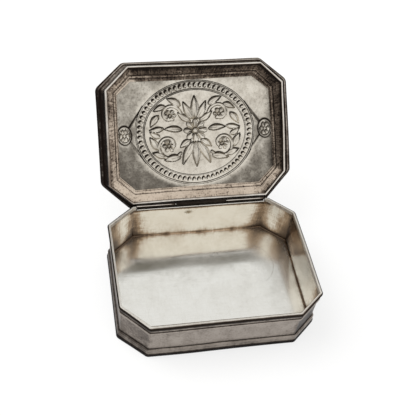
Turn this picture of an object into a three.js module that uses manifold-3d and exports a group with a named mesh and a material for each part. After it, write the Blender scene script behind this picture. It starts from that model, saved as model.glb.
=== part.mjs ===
// Silver box with canted corners: a plain-walled body and a hinged lid with a repousse panel.
// Millimetres, +Z up. The origin is the centre of the underside, +Y points to the hinge.
// The lid is modelled shut, in a group that turns about the hinge pin to the opened position.
import * as THREE from "three";
import { mergeVertices } from "three/addons/utils/BufferGeometryUtils.js";
import Module from "manifold-3d";

// Plan of the rim's ridge line. Every offset below is measured outwards from it.
const RIM_WIDTH = 84;
const RIM_DEPTH = 62.4;
const CANT_WIDTH = 10.8;
const CANT_DEPTH = 9.7;

// Body heights
const RIM_HEIGHT = 21.8;
const BASE_THICKNESS = 1.2;
const FOOT_TOP = 4.9;

// Sheet and fits
const SHEET = 0.7;
const SEAM = 0.05;
const LID_SEAM = 0.3;
const SHUT_GAP = 0.2;

// Facets of each curved line and round, and the distance at which points are merged
const ARC_STEPS = 6;
const KNUCKLE_SIDES = 24;
const MERGE_DISTANCE = 1e-4;

// Body section
const WALL_TOP_OFFSET = 0.25;
const WALL_HOLLOW = 0.3;
const COLLAR_LIP = 0.85;
const COLLAR_FLAT = 0.3;
const COLLAR_EDGE = 0.55;
const COLLAR_UNDERCUT = 0.18;
const BEAD_DROP = 3.7;
const BEAD_HEIGHT = 1.3;
const BEAD_LIP = 0.62;
const FOOT_LIP = 1.05;
const FOOT_STEP = 0.7;
const FOOT_BEAD = 0.85;
const BASE_LIP = 1.25;
const BASE_CHAMFER = 0.25;

// Lid section, with heights above the lid's lower edge
const LID_RIM_OUTER = -0.55;
const LID_RIM_HEIGHT = 1.0;
const LID_RIM_TAPER = 0.2;
const CAVETTO_RISE = 3.6;
const CAVETTO_FLARE = 1.6;
const CORNICE_LIP = 2.25;
const CORNICE_HEIGHT = 1.9;
const FRAME_EDGE = -5.7;
const FRAME_GROOVE = 0.25;
const FRAME_FILLET = 0.7;
const FRAME_BEVEL = 0.35;
const BORDER_SLOPE = 2.55;
const BORDER_STEP = 0.5;
const BORDER_BAND = 1.05;
const BORDER_BAND_RISE = 0.35;
const BORDER_BANDS = 2;
const PANEL_LEDGE = 1.3;

// Relief of the panel
const PANEL_MARGIN = 1.1;
const ROSETTE_RADIUS = 3.0;
const ROSETTE_EDGE = 0.2;
const ROSETTE_GAP = 1.7;
const ROSETTE_PETALS = 6;
const ROSETTE_RELIEF = 0.6;
const ROSETTE_RIM = 0.66;
const ROSETTE_EYE = 0.66;
const ROSETTE_LAP = 0.09;
const RING_WIDTH = 1.0;
const RING_RELIEF = 0.45;
const BEAD_ROW_WIDTH = 2.2;
const BEAD_ROW_GAP = 0.25;
const BEAD_RELIEF = 0.7;
const BEADS = 72;
const MEDALLION_DOME = 0.7;
const DOME_ROWS = 2;

// Hinge
const OPENING_DEGREES = 133;
const HINGE_INSET = 1.5;
const HINGE_BACKSET = 0.75;
const HINGE_DROP = 0.5;
const KNUCKLE_RADIUS = 0.95;
const KNUCKLE_CENTRE_LENGTH = 23.4;
const KNUCKLE_GAP = 0.3;
const PIN_RADIUS = 0.4;
const PIN_CLEARANCE = 0.09;
const RUNNING_GAP = 0.3;
const BEARER_REACH = 2.9;
const BEARER_SLOPE = 0.4;
const STOP_GAP = 0.3;
const LID_BEARER_OFFSET = 0.35;

// Finishes
const POLISHED = new THREE.MeshStandardMaterial({ color: 0xd9d5cc, roughness: 0.22, metalness: 1 });
const WORN = new THREE.MeshStandardMaterial({ color: 0xa39a8e, roughness: 0.34, metalness: 1 });
const TARNISHED = new THREE.MeshStandardMaterial({ color: 0x7d7062, roughness: 0.42, metalness: 1 });

// Derived levels
const axisY = RIM_DEPTH / 2 + HINGE_BACKSET;
const axisZ = RIM_HEIGHT - HINGE_DROP;
const wallTop = axisZ - KNUCKLE_RADIUS - RUNNING_GAP;
const hingeLength = RIM_WIDTH - 2 * CANT_WIDTH - 2 * HINGE_INSET;
const lidFloor = RIM_HEIGHT + SHUT_GAP;

const wasm = await Module();
wasm.setup();

// Corner points of the canted rectangle at an offset, counter-clockwise from the right of the back edge.
function outline(offset) {
  const halfWidth = RIM_WIDTH / 2 + offset;
  const halfDepth = RIM_DEPTH / 2 + offset;
  const cantLength = Math.hypot(CANT_WIDTH, CANT_DEPTH);
  const cutX = CANT_WIDTH + offset * (1 + (CANT_WIDTH - cantLength) / CANT_DEPTH);
  const cutY = CANT_DEPTH + offset * (1 + (CANT_DEPTH - cantLength) / CANT_WIDTH);
  const right = [
    [halfWidth, -halfDepth + cutY],
    [halfWidth, halfDepth - cutY],
    [halfWidth - cutX, halfDepth],
  ];
  const left = right.map(([x, y]) => [-x, -y]);
  return [...right, [cutX - halfWidth, halfDepth], ...left, [halfWidth - cutX, -halfDepth]];
}

function geometryOf(vertices, triangles) {
  const geometry = new THREE.BufferGeometry();
  geometry.setAttribute("position", new THREE.Float32BufferAttribute(vertices.flat(), 3));
  geometry.setIndex(triangles.flat());
  return geometry;
}

function quad(a, b, c, d) {
  return [[a, b, c], [a, c, d]];
}

// Faces between one loop of points and the next, each face looking outwards.
function skin(loops, closedPath, closedSection) {
  const stations = loops[0].length;
  const spans = closedPath ? stations : stations - 1;
  const strips = closedSection ? loops.length : loops.length - 1;
  const triangles = [];
  for (let strip = 0; strip < strips; strip++) {
    const a = strip * stations;
    const b = ((strip + 1) % loops.length) * stations;
    for (let i = 0; i < spans; i++) {
      const j = (i + 1) % stations;
      triangles.push(...quad(a + i, a + j, b + j, b + i));
    }
  }
  return triangles;
}

function loopAt([offset, height]) {
  return outline(offset).map(([x, y]) => [x, y, height]);
}

// A closed section of [offset, height] points, counter-clockwise, carried round the whole outline.
function band(section) {
  const loops = section.map(loopAt);
  return geometryOf(loops.flat(), skin(loops, true, true));
}

// The same section carried round the outline but stopped short of the hinge on the back edge.
function bandClearOfHinge(section, halfCut) {
  const loops = section.map(([offset, height]) => {
    const corners = loopAt([offset, height]);
    const back = RIM_DEPTH / 2 + offset;
    const path = [...corners.slice(3), ...corners.slice(0, 3)];
    return [[-halfCut, back, height], ...path, [halfCut, back, height]];
  });
  const stations = loops[0].length;
  const triangles = skin(loops, false, true);
  const points = section.map(([offset, height]) => new THREE.Vector2(offset, height));
  for (const face of THREE.ShapeUtils.triangulateShape(points, [])) {
    const first = face.map((i) => i * stations);
    const last = first.map((i) => i + stations - 1);
    triangles.push(first, last.reverse());
  }
  return geometryOf(loops.flat(), triangles);
}

// A solid plate: outlines stacked from [offset, height] points, closed below and above.
function plate(section) {
  const loops = section.map(loopAt);
  const corners = loops[0].length;
  const triangles = skin(loops, true, false);
  const top = (section.length - 1) * corners;
  for (let corner = 1; corner < corners - 1; corner++) {
    triangles.push([0, corner + 1, corner]);
    triangles.push([top, top + corner, top + corner + 1]);
  }
  return geometryOf(loops.flat(), triangles);
}

// Points of an elliptical arc of [offset, height], angles in quarter turns from the +offset axis.
function arc(centre, radii, from, to, steps) {
  return Array.from({ length: steps + 1 }, (_, i) => {
    const angle = (from + ((to - from) * i) / steps) * (Math.PI / 2);
    return [centre[0] + radii[0] * Math.cos(angle), centre[1] + radii[1] * Math.sin(angle)];
  });
}

// A [y, z] section extruded along X, centred on the middle of the box.
function bar(section, length) {
  const shape = new THREE.Shape(section.map(([y, z]) => new THREE.Vector2(y, z)));
  const geometry = new THREE.ExtrudeGeometry(shape, { depth: length, bevelEnabled: false });
  const axes = new THREE.Matrix4().makeBasis(
    new THREE.Vector3(0, 1, 0),
    new THREE.Vector3(0, 0, 1),
    new THREE.Vector3(1, 0, 0),
  );
  geometry.translate(0, 0, -length / 2);
  geometry.applyMatrix4(axes);
  return geometry;
}

// A round tube or rod lying along X on the hinge axis.
function round(outer, inner, centreX, length) {
  const half = length / 2;
  const points = [
    [inner, -half],
    [outer, -half],
    [outer, half],
    [inner, half],
  ].map(([r, y]) => new THREE.Vector2(r, y));
  if (inner > 0) {
    points.push(points[0].clone());
  }
  const geometry = new THREE.LatheGeometry(points, KNUCKLE_SIDES);
  geometry.rotateZ(-Math.PI / 2);
  geometry.translate(centreX, axisY, axisZ);
  return geometry;
}

// Shallow concave line of the body wall: offset of its outer face at a height.
function wallOffset(height) {
  const t = (height - BASE_THICKNESS) / (wallTop - BASE_THICKNESS);
  return WALL_TOP_OFFSET - WALL_HOLLOW * 4 * t * (1 - t);
}

function bodyWall() {
  const heights = Array.from(
    { length: ARC_STEPS + 1 },
    (_, i) => BASE_THICKNESS + ((wallTop - BASE_THICKNESS) * i) / ARC_STEPS,
  );
  const outer = heights.map((z) => [wallOffset(z), z]);
  const inner = heights.map((z) => [wallOffset(z) - SHEET, z]).reverse();
  return band([...outer, ...inner]);
}

function basePlate() {
  return plate([
    [BASE_LIP - BASE_CHAMFER, 0],
    [BASE_LIP, BASE_CHAMFER],
    [BASE_LIP, BASE_THICKNESS],
  ]);
}

// Stepped foot: a plain fillet, a cove and a half-round bead under a weathered top.
function footMoulding() {
  const inner = WALL_TOP_OFFSET + SEAM;
  const fillet = BASE_THICKNESS + FOOT_STEP;
  const beadLow = FOOT_TOP - 2 * FOOT_STEP;
  const beadTop = FOOT_TOP - FOOT_STEP / 2;
  const coveDepth = FOOT_LIP - FOOT_STEP;
  const beadCentre = [FOOT_STEP, (beadLow + beadTop) / 2];
  const beadRadii = [FOOT_BEAD - FOOT_STEP, (beadTop - beadLow) / 2];
  return band([
    [inner, BASE_THICKNESS],
    [FOOT_LIP, BASE_THICKNESS],
    ...arc([FOOT_LIP, beadLow], [-coveDepth, fillet - beadLow], 1, 0, ARC_STEPS),
    ...arc(beadCentre, beadRadii, -1, 1, ARC_STEPS).slice(1),
    [inner, FOOT_TOP],
  ]);
}

function rimBead() {
  const top = RIM_HEIGHT - BEAD_DROP;
  const inner = wallOffset(top) + SEAM;
  const middle = top - BEAD_HEIGHT / 2;
  return band(arc([inner, middle], [BEAD_LIP - inner, BEAD_HEIGHT / 2], -1, 1, ARC_STEPS));
}

// Strip that caps the wall: a flat ridge, a rounded outer lip and a hollow under it.
function rimCollar() {
  const inner = WALL_TOP_OFFSET - SHEET;
  const lipLow = RIM_HEIGHT - 2 * COLLAR_EDGE;
  const section = [
    [inner, wallTop],
    [WALL_TOP_OFFSET, wallTop],
    [COLLAR_LIP - COLLAR_UNDERCUT, lipLow],
    ...arc([COLLAR_FLAT, RIM_HEIGHT - COLLAR_EDGE], [COLLAR_LIP - COLLAR_FLAT, COLLAR_EDGE], 0, 1, ARC_STEPS),
    [inner, RIM_HEIGHT],
  ];
  return bandClearOfHinge(section, hingeLength / 2 + RUNNING_GAP);
}

function lidRim() {
  const inner = LID_RIM_OUTER - SHEET;
  return band([
    [inner, lidFloor],
    [LID_RIM_OUTER, lidFloor],
    [LID_RIM_OUTER + LID_RIM_TAPER, lidFloor + LID_RIM_HEIGHT],
    [inner - LID_RIM_TAPER / 2, lidFloor + LID_RIM_HEIGHT],
  ]);
}

const wallFoot = lidFloor + LID_RIM_HEIGHT + LID_SEAM;
const cavettoFoot = LID_RIM_OUTER + LID_RIM_TAPER;
const cavettoTop = wallFoot + CAVETTO_RISE;

// Side of the lid: a sheet that stands upright on the rim and flares out to the cornice.
function lidWall() {
  const lip = cavettoFoot + CAVETTO_FLARE;
  const outer = arc([lip, wallFoot], [-CAVETTO_FLARE, CAVETTO_RISE], 0, 1, ARC_STEPS);
  const inner = arc([lip, wallFoot], [-CAVETTO_FLARE - SHEET, CAVETTO_RISE + SHEET], 1, 0, ARC_STEPS);
  return band([...outer, ...inner]);
}

const frameLow = cavettoTop + SHEET + LID_SEAM;
const corniceFoot = cavettoFoot + CAVETTO_FLARE + LID_SEAM;

// Half-round edge that overhangs the lid's side.
function lidCornice() {
  const half = CORNICE_HEIGHT / 2;
  const middle = cavettoTop + half;
  const reach = CORNICE_LIP - corniceFoot;
  return band(arc([corniceFoot, middle], [reach, half], -1, 1, ARC_STEPS));
}

// Flat frame between the cornice and the panel, with a sunk groove along each edge.
function lidFrame() {
  const top = frameLow + SHEET;
  const outer = corniceFoot - LID_SEAM;
  return band([
    [FRAME_EDGE, frameLow],
    [outer, frameLow],
    [outer, top],
    [outer - FRAME_FILLET, top],
    [outer - FRAME_FILLET - FRAME_BEVEL, top - FRAME_GROOVE],
    [FRAME_EDGE + FRAME_FILLET + FRAME_BEVEL, top - FRAME_GROOVE],
    [FRAME_EDGE + FRAME_FILLET, top],
    [FRAME_EDGE, top],
  ]);
}

const panelLow = frameLow - LID_SEAM - SHEET;
const ledge = panelLow - LID_SEAM;
const borderOuter = LID_RIM_OUTER - SHEET - LID_RIM_TAPER / 2;
const borderInner = borderOuter - BORDER_SLOPE - BORDER_BANDS * BORDER_BAND;
const panelEdge = borderInner + PANEL_LEDGE;

// Stepped frame inside the lid: a broad slope from the rim and narrow bands up to the panel.
function lidBorder() {
  let offset = borderOuter - BORDER_SLOPE;
  let height = ledge - BORDER_BANDS * (BORDER_STEP + BORDER_BAND_RISE);
  const slopeTop = height;
  const inside = [[borderOuter, wallFoot], [offset, height]];
  for (let i = 0; i < BORDER_BANDS; i++) {
    height += BORDER_STEP;
    inside.push([offset, height]);
    offset -= BORDER_BAND;
    height += BORDER_BAND_RISE;
    inside.push([offset, height]);
  }
  const hidden = [
    [panelEdge, ledge],
    [panelEdge + SHEET, ledge - BORDER_STEP],
    [borderOuter - SHEET, slopeTop],
    [borderOuter, wallFoot + SHEET],
  ];
  return band([...inside, ...hidden].reverse());
}

// Panel outline and the medallion that fills it, leaving room for a rosette at each end.
const medallionWidth = RIM_WIDTH / 2 + borderInner - 2 * ROSETTE_RADIUS - ROSETTE_EDGE - ROSETTE_GAP;
const medallionDepth = RIM_DEPTH / 2 + borderInner - PANEL_MARGIN;

// Rings of the medallion from its outer edge inwards: [distance from the edge, lift, lift at each bead].
function medallionRings() {
  const beadRow = RING_WIDTH + BEAD_ROW_GAP;
  const innerRing = beadRow + BEAD_ROW_WIDTH + BEAD_ROW_GAP;
  return [
    [0, 0, 0],
    [RING_WIDTH / 2, RING_RELIEF, 0],
    [RING_WIDTH, 0, 0],
    [beadRow, 0, 0],
    [beadRow + BEAD_ROW_WIDTH / 2, 0, BEAD_RELIEF],
    [beadRow + BEAD_ROW_WIDTH, 0, 0],
    [innerRing, 0, 0],
    [innerRing + RING_WIDTH / 2, RING_RELIEF, 0],
    [innerRing + RING_WIDTH, 0, 0],
  ];
}

// Where the ray at an angle from the centre leaves the panel's outline.
function rayToOutline(angle, corners) {
  const direction = [Math.cos(angle), Math.sin(angle)];
  let reach = Infinity;
  corners.forEach(([x0, y0], i) => {
    const [x1, y1] = corners[(i + 1) % corners.length];
    const across = direction[0] * (y1 - y0) - direction[1] * (x1 - x0);
    const along = (x0 * (y1 - y0) - y0 * (x1 - x0)) / across;
    if (across > 0) {
      reach = Math.min(reach, along);
    }
  });
  return [direction[0] * reach, direction[1] * reach];
}

// Sheet of the panel before the rosettes: concentric rings from the outline to the centre,
// the same relief on both faces, so each boss outside is a hollow inside.
function medallionSheet() {
  const steps = 2 * BEADS;
  const rings = medallionRings();
  const corners = outline(panelEdge);
  const angles = Array.from({ length: steps }, (_, i) => (i * 2 * Math.PI) / steps);
  const rows = [angles.map((angle) => [...rayToOutline(angle, corners), 0])];
  for (const [inset, lift, beadLift] of rings) {
    const radii = [medallionWidth - inset, medallionDepth - inset];
    rows.push(angles.map((angle, i) => [
      radii[0] * Math.cos(angle),
      radii[1] * Math.sin(angle),
      lift + (i % 2 === 0 ? beadLift : 0),
    ]));
  }
  const [lastInset] = rings[rings.length - 1];
  for (let row = DOME_ROWS; row > 0; row--) {
    const share = row / (DOME_ROWS + 1);
    rows.push(angles.map((angle) => [
      share * (medallionWidth - lastInset) * Math.cos(angle),
      share * (medallionDepth - lastInset) * Math.sin(angle),
      MEDALLION_DOME * (1 - share ** 2),
    ]));
  }
  return sheetFromRows(rows, [0, 0, MEDALLION_DOME], panelLow, SHEET);
}

// A closed sheet: rows of [x, y, lift] points running inwards to one centre point.
function sheetFromRows(rows, centre, low, thickness) {
  const steps = rows[0].length;
  const face = [...rows.flat(), centre];
  const under = face.map(([x, y, lift]) => [x, y, low + lift]);
  const over = face.map(([x, y, lift]) => [x, y, low + lift + thickness]);
  const count = face.length;
  const triangles = [];
  for (let i = 0; i < steps; i++) {
    const next = (i + 1) % steps;
    triangles.push(...quad(i, next, count + next, count + i));
    for (let row = 0; row < rows.length - 1; row++) {
      const a = row * steps;
      const b = a + steps;
      triangles.push(...quad(a + i, b + i, b + next, a + next));
      triangles.push(...quad(count + a + i, count + a + next, count + b + next, count + b + i));
    }
    const last = (rows.length - 1) * steps;
    triangles.push([last + i, count - 1, last + next]);
    triangles.push([count + last + i, count + last + next, 2 * count - 1]);
  }
  return geometryOf([...under, ...over], triangles);
}

// A round flower in a raised ring, embossed like the rest of the sheet.
function rosetteSheet(centreX) {
  const steps = 4 * ROSETTE_PETALS;
  const angles = Array.from({ length: steps }, (_, i) => (i * 2 * Math.PI) / steps);
  const petalTip = ROSETTE_RADIUS - ROSETTE_RIM;
  const rings = [
    [ROSETTE_RADIUS, 0, 0],
    [ROSETTE_RADIUS - ROSETTE_RIM / 2, ROSETTE_RELIEF, 0],
    [petalTip, 0, 0],
    [(petalTip + ROSETTE_EYE) / 2, 0, ROSETTE_RELIEF],
    [ROSETTE_EYE, 0, 0],
  ];
  const rows = rings.map(([radius, lift, petal]) => angles.map((angle) => [
    centreX + radius * Math.cos(angle),
    radius * Math.sin(angle),
    lift + petal * Math.cos((ROSETTE_PETALS * angle) / 2) ** 2,
  ]));
  return sheetFromRows(rows, [centreX, 0, ROSETTE_RELIEF], panelLow, SHEET);
}

function solidOf(geometry) {
  const bare = geometry.clone();
  bare.deleteAttribute("normal");
  bare.deleteAttribute("uv");
  const merged = mergeVertices(bare, MERGE_DISTANCE);
  const mesh = new wasm.Mesh({
    numProp: 3,
    vertProperties: new Float32Array(merged.attributes.position.array),
    triVerts: new Uint32Array(merged.index.array),
  });
  return new wasm.Manifold(mesh);
}

function geometryFromSolid(solid) {
  const mesh = solid.getMesh();
  const geometry = new THREE.BufferGeometry();
  geometry.setAttribute("position", new THREE.BufferAttribute(new Float32Array(mesh.vertProperties), 3));
  geometry.setIndex(new THREE.BufferAttribute(new Uint32Array(mesh.triVerts), 1));
  return geometry;
}

// The panel with a rosette let into each end.
function lidPanel() {
  let sheet = solidOf(medallionSheet());
  const rosetteX = medallionWidth + ROSETTE_GAP + ROSETTE_RADIUS;
  for (const x of [-rosetteX, rosetteX]) {
    const radius = ROSETTE_RADIUS - ROSETTE_LAP;
    const opening = new THREE.CylinderGeometry(radius, radius, 2 * ROSETTE_RADIUS, 4 * ROSETTE_PETALS);
    opening.rotateX(Math.PI / 2);
    opening.translate(x, 0, panelLow + SHEET / 2);
    sheet = sheet.subtract(solidOf(opening)).add(solidOf(rosetteSheet(x)));
  }
  return geometryFromSolid(sheet);
}

// Point on a bearer's stop face, at a distance from the hinge axis; side is -1 on the body, +1 on the lid.
function stopPoint(distance, side) {
  const half = THREE.MathUtils.degToRad(OPENING_DEGREES / 2);
  const back = STOP_GAP / 2;
  return [
    axisY + distance * Math.cos(half) - back * Math.sin(half),
    axisZ + side * (distance * Math.sin(half) + back * Math.cos(half)),
  ];
}

// Strip that carries a row of knuckles; the two strips meet at the back and stop the lid.
function bearer(front, near, side) {
  const half = THREE.MathUtils.degToRad(OPENING_DEGREES / 2);
  const backAway = STOP_GAP / 2;
  const reachToNear = (Math.abs(near - axisZ) - backAway * Math.cos(half)) / Math.sin(half);
  const far = stopPoint(BEARER_REACH, side);
  const section = [
    [front, near],
    stopPoint(reachToNear, side),
    far,
    [front, far[1] + side * BEARER_SLOPE],
  ];
  return bar(side > 0 ? section : section.reverse(), hingeLength);
}

function bodyBearer() {
  return bearer(RIM_DEPTH / 2 + WALL_TOP_OFFSET + SEAM, wallTop, -1);
}

function lidBearer() {
  return bearer(RIM_DEPTH / 2 + LID_BEARER_OFFSET, axisZ + KNUCKLE_RADIUS + RUNNING_GAP, 1);
}

const knuckleSideLength = (hingeLength - KNUCKLE_CENTRE_LENGTH) / 2 - KNUCKLE_GAP;
const knuckleSideX = (KNUCKLE_CENTRE_LENGTH + knuckleSideLength) / 2 + KNUCKLE_GAP;

function knuckle(centreX, length) {
  return round(KNUCKLE_RADIUS, PIN_RADIUS + PIN_CLEARANCE, centreX, length);
}

function piece(name, geometry, material) {
  const mesh = new THREE.Mesh(geometry, material);
  mesh.name = name;
  return mesh;
}

const body = new THREE.Group();
body.add(
  piece("base_plate", basePlate(), POLISHED),
  piece("body_wall", bodyWall(), WORN),
  piece("foot_moulding", footMoulding(), WORN),
  piece("rim_moulding", rimBead(), WORN),
  piece("rim_collar", rimCollar(), POLISHED),
  piece("body_hinge_bearer", bodyBearer(), WORN),
  piece("hinge_knuckle_left", knuckle(-knuckleSideX, knuckleSideLength), POLISHED),
  piece("hinge_knuckle_right", knuckle(knuckleSideX, knuckleSideLength), POLISHED),
  piece("hinge_pin", round(PIN_RADIUS, 0, 0, hingeLength), POLISHED),
);

// The lid's own group has its origin on the hinge axis, so turning it opens the lid.
const lidPieces = new THREE.Group();
lidPieces.position.set(0, -axisY, -axisZ);
lidPieces.add(
  piece("lid_rim", lidRim(), POLISHED),
  piece("lid_wall", lidWall(), TARNISHED),
  piece("lid_cornice", lidCornice(), WORN),
  piece("lid_frame", lidFrame(), WORN),
  piece("lid_border", lidBorder(), TARNISHED),
  piece("lid_panel", lidPanel(), WORN),
  piece("lid_hinge_bearer", lidBearer(), WORN),
  piece("hinge_knuckle_centre", knuckle(0, KNUCKLE_CENTRE_LENGTH), WORN),
);
const lid = new THREE.Group();
lid.position.set(0, axisY, axisZ);
lid.rotation.x = -THREE.MathUtils.degToRad(OPENING_DEGREES);
lid.add(lidPieces);

const box = new THREE.Group();
box.add(body, lid);

export default box;
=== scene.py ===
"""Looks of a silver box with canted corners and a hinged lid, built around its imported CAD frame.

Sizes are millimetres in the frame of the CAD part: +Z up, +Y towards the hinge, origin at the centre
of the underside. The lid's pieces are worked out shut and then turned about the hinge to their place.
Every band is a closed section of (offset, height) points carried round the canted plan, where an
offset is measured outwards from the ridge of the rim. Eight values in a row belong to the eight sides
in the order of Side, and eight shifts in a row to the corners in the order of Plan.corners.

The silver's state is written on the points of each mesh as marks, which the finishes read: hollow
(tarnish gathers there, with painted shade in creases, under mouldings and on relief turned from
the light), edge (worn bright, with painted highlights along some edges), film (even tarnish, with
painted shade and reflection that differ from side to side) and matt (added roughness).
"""

from __future__ import annotations

import logging
import math
from dataclasses import dataclass, field
from enum import Enum, IntEnum

import bpy
import numpy as np
from mathutils import Matrix, Vector
from mathutils.geometry import tessellate_polygon

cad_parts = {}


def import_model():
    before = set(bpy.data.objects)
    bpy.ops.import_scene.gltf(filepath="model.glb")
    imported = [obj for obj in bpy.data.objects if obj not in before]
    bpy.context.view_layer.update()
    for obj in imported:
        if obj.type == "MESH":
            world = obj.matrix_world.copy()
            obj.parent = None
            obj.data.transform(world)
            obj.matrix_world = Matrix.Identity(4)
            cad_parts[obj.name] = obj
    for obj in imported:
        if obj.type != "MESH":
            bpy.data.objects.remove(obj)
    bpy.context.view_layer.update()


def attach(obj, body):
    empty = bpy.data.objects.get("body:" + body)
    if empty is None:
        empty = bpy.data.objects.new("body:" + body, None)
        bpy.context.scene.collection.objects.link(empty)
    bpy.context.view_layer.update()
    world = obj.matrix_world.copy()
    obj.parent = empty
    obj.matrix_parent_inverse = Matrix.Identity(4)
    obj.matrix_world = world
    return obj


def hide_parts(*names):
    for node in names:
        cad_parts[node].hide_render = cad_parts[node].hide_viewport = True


LOG = logging.getLogger("silver_box")
Array = np.ndarray
Socket = bpy.types.NodeSocket
Colour = tuple[float, float, float]
Corner = tuple[float, float, float]
Place = tuple[float, float, float]
Span = tuple[float, float]
SideValues = tuple[float, float, float, float, float, float, float, float]
Shifts = tuple[tuple[float, float], ...]
Table = tuple[tuple[float, ...], ...]
Names = tuple[str, ...]
MM = 0.001
TURN = 2.0 * math.pi
SHARP_ANGLE = math.radians(48)
TINY = 1e-9
MARKS = ("hollow", "edge", "film", "matt")


class Body(Enum):
    """The two CAD bodies that pieces ride on."""

    BOX = "body"
    LID = "lid"


class Slot(Enum):
    """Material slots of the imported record."""

    POLISHED = "polished_silver"
    WORN = "worn_silver"
    TARNISHED = "tarnished_silver"


class Silver(Enum):
    """States of the silver, by the names of their materials."""

    FLOOR = "floor_silver"
    INNER_WALL = "inner_wall_silver"
    OUTER_WALL = "outer_wall_silver"
    MOULDING = "moulding_silver"
    RIM = "rim_silver"
    LID_SIDE = "lid_side_silver"
    LID_BORDER = "lid_border_silver"
    LID_PANEL = "lid_panel_silver"


class Side(IntEnum):
    """The eight sides of the plan, counter-clockwise from the right."""

    RIGHT = 0
    RIGHT_BACK = 1
    BACK = 2
    LEFT_BACK = 3
    LEFT = 4
    LEFT_FRONT = 5
    FRONT = 6
    RIGHT_FRONT = 7


def unit(value: Array) -> Array:
    """The value kept between 0 and 1."""
    return np.clip(value, 0, 1)


def rise(value: Array, low: float, high: float) -> Array:
    """Straight step of a value, from 0 at low to 1 at high."""
    return unit((value - low) / (high - low))


def smooth(value: Array, low: float, high: float) -> Array:
    """Smooth step 3t^2 - 2t^3 of a value, from 0 at low to 1 at high."""
    t = rise(value, low, high)
    return t * t * (3 - 2 * t)


def hump(value: Array, at: float | Array, wide: float | Array) -> Array:
    """Bell curve exp(-((value - at) / wide) ** 2)."""
    return np.exp(-(((value - at) / wide) ** 2))


def fall(distance: Array, length: float | Array) -> Array:
    """exp(-distance / length), and 1 where the distance is below 0."""
    return np.exp(-np.maximum(distance, 0) / length)


def spot(u: Array, v: Array, at: Span, size: Span) -> Array:
    """Oval bell: the product of a hump along u and one along v."""
    return hump(u, at[0], size[0]) * hump(v, at[1], size[1])


def lines_at(height: Array, lines: Table) -> Array:
    """Sum of amount * hump(height, at, wide) over lines of (at, wide, amount)."""
    return sum(amount * hump(height, at, wide) for at, wide, amount in lines)


def dome(share: Array) -> Array:
    """Round profile sqrt(1 - share^2), and 0 where the share is beyond 1."""
    return np.sqrt(unit(1 - share**2))


def segment_gap(x: Array, y: Array, a: Array, b: Array) -> Array:
    """Distance of plan points from a straight segment.

    Args:
        x: plan points.
        y: plan points, of the same shape.
        a: start of the segment, (2,).
        b: its end, (2,).

    Returns:
        Distances, measured to the nearest point a + share * (b - a) with share from 0 to 1.
    """
    step = b - a
    share = unit(((x - a[0]) * step[0] + (y - a[1]) * step[1]) / (step @ step))
    return np.hypot(x - a[0] - share * step[0], y - a[1] - share * step[1])


@dataclass(frozen=True)
class Hinge:
    """Place of the hinge pin, its pieces, and how far the lid is turned back at rest."""

    y: float = 31.95
    z: float = 21.3
    opening: float = 133.0
    length: float = 59.4
    knuckle: float = 0.95
    pin: float = 0.4
    bore_play: float = 0.09
    centre_length: float = 23.4
    gap: float = 0.3
    stop_gap: float = 0.15
    stop_reach: float = 2.9
    stop_foot: float = 0.4

    def opened(self, points: Array) -> Array:
        """Turn shut-lid points about the pin to the opened place.

        Args:
            points: (n, 3) millimetres, lid shut.

        Returns:
            (n, 3) millimetres, lid opened.
        """
        angle = -math.radians(self.opening)
        c, s = math.cos(angle), math.sin(angle)
        y, z = points[:, 1] - self.y, points[:, 2] - self.z
        return np.stack([points[:, 0], self.y + c * y - s * z, self.z + s * y + c * z], axis=1)


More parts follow.
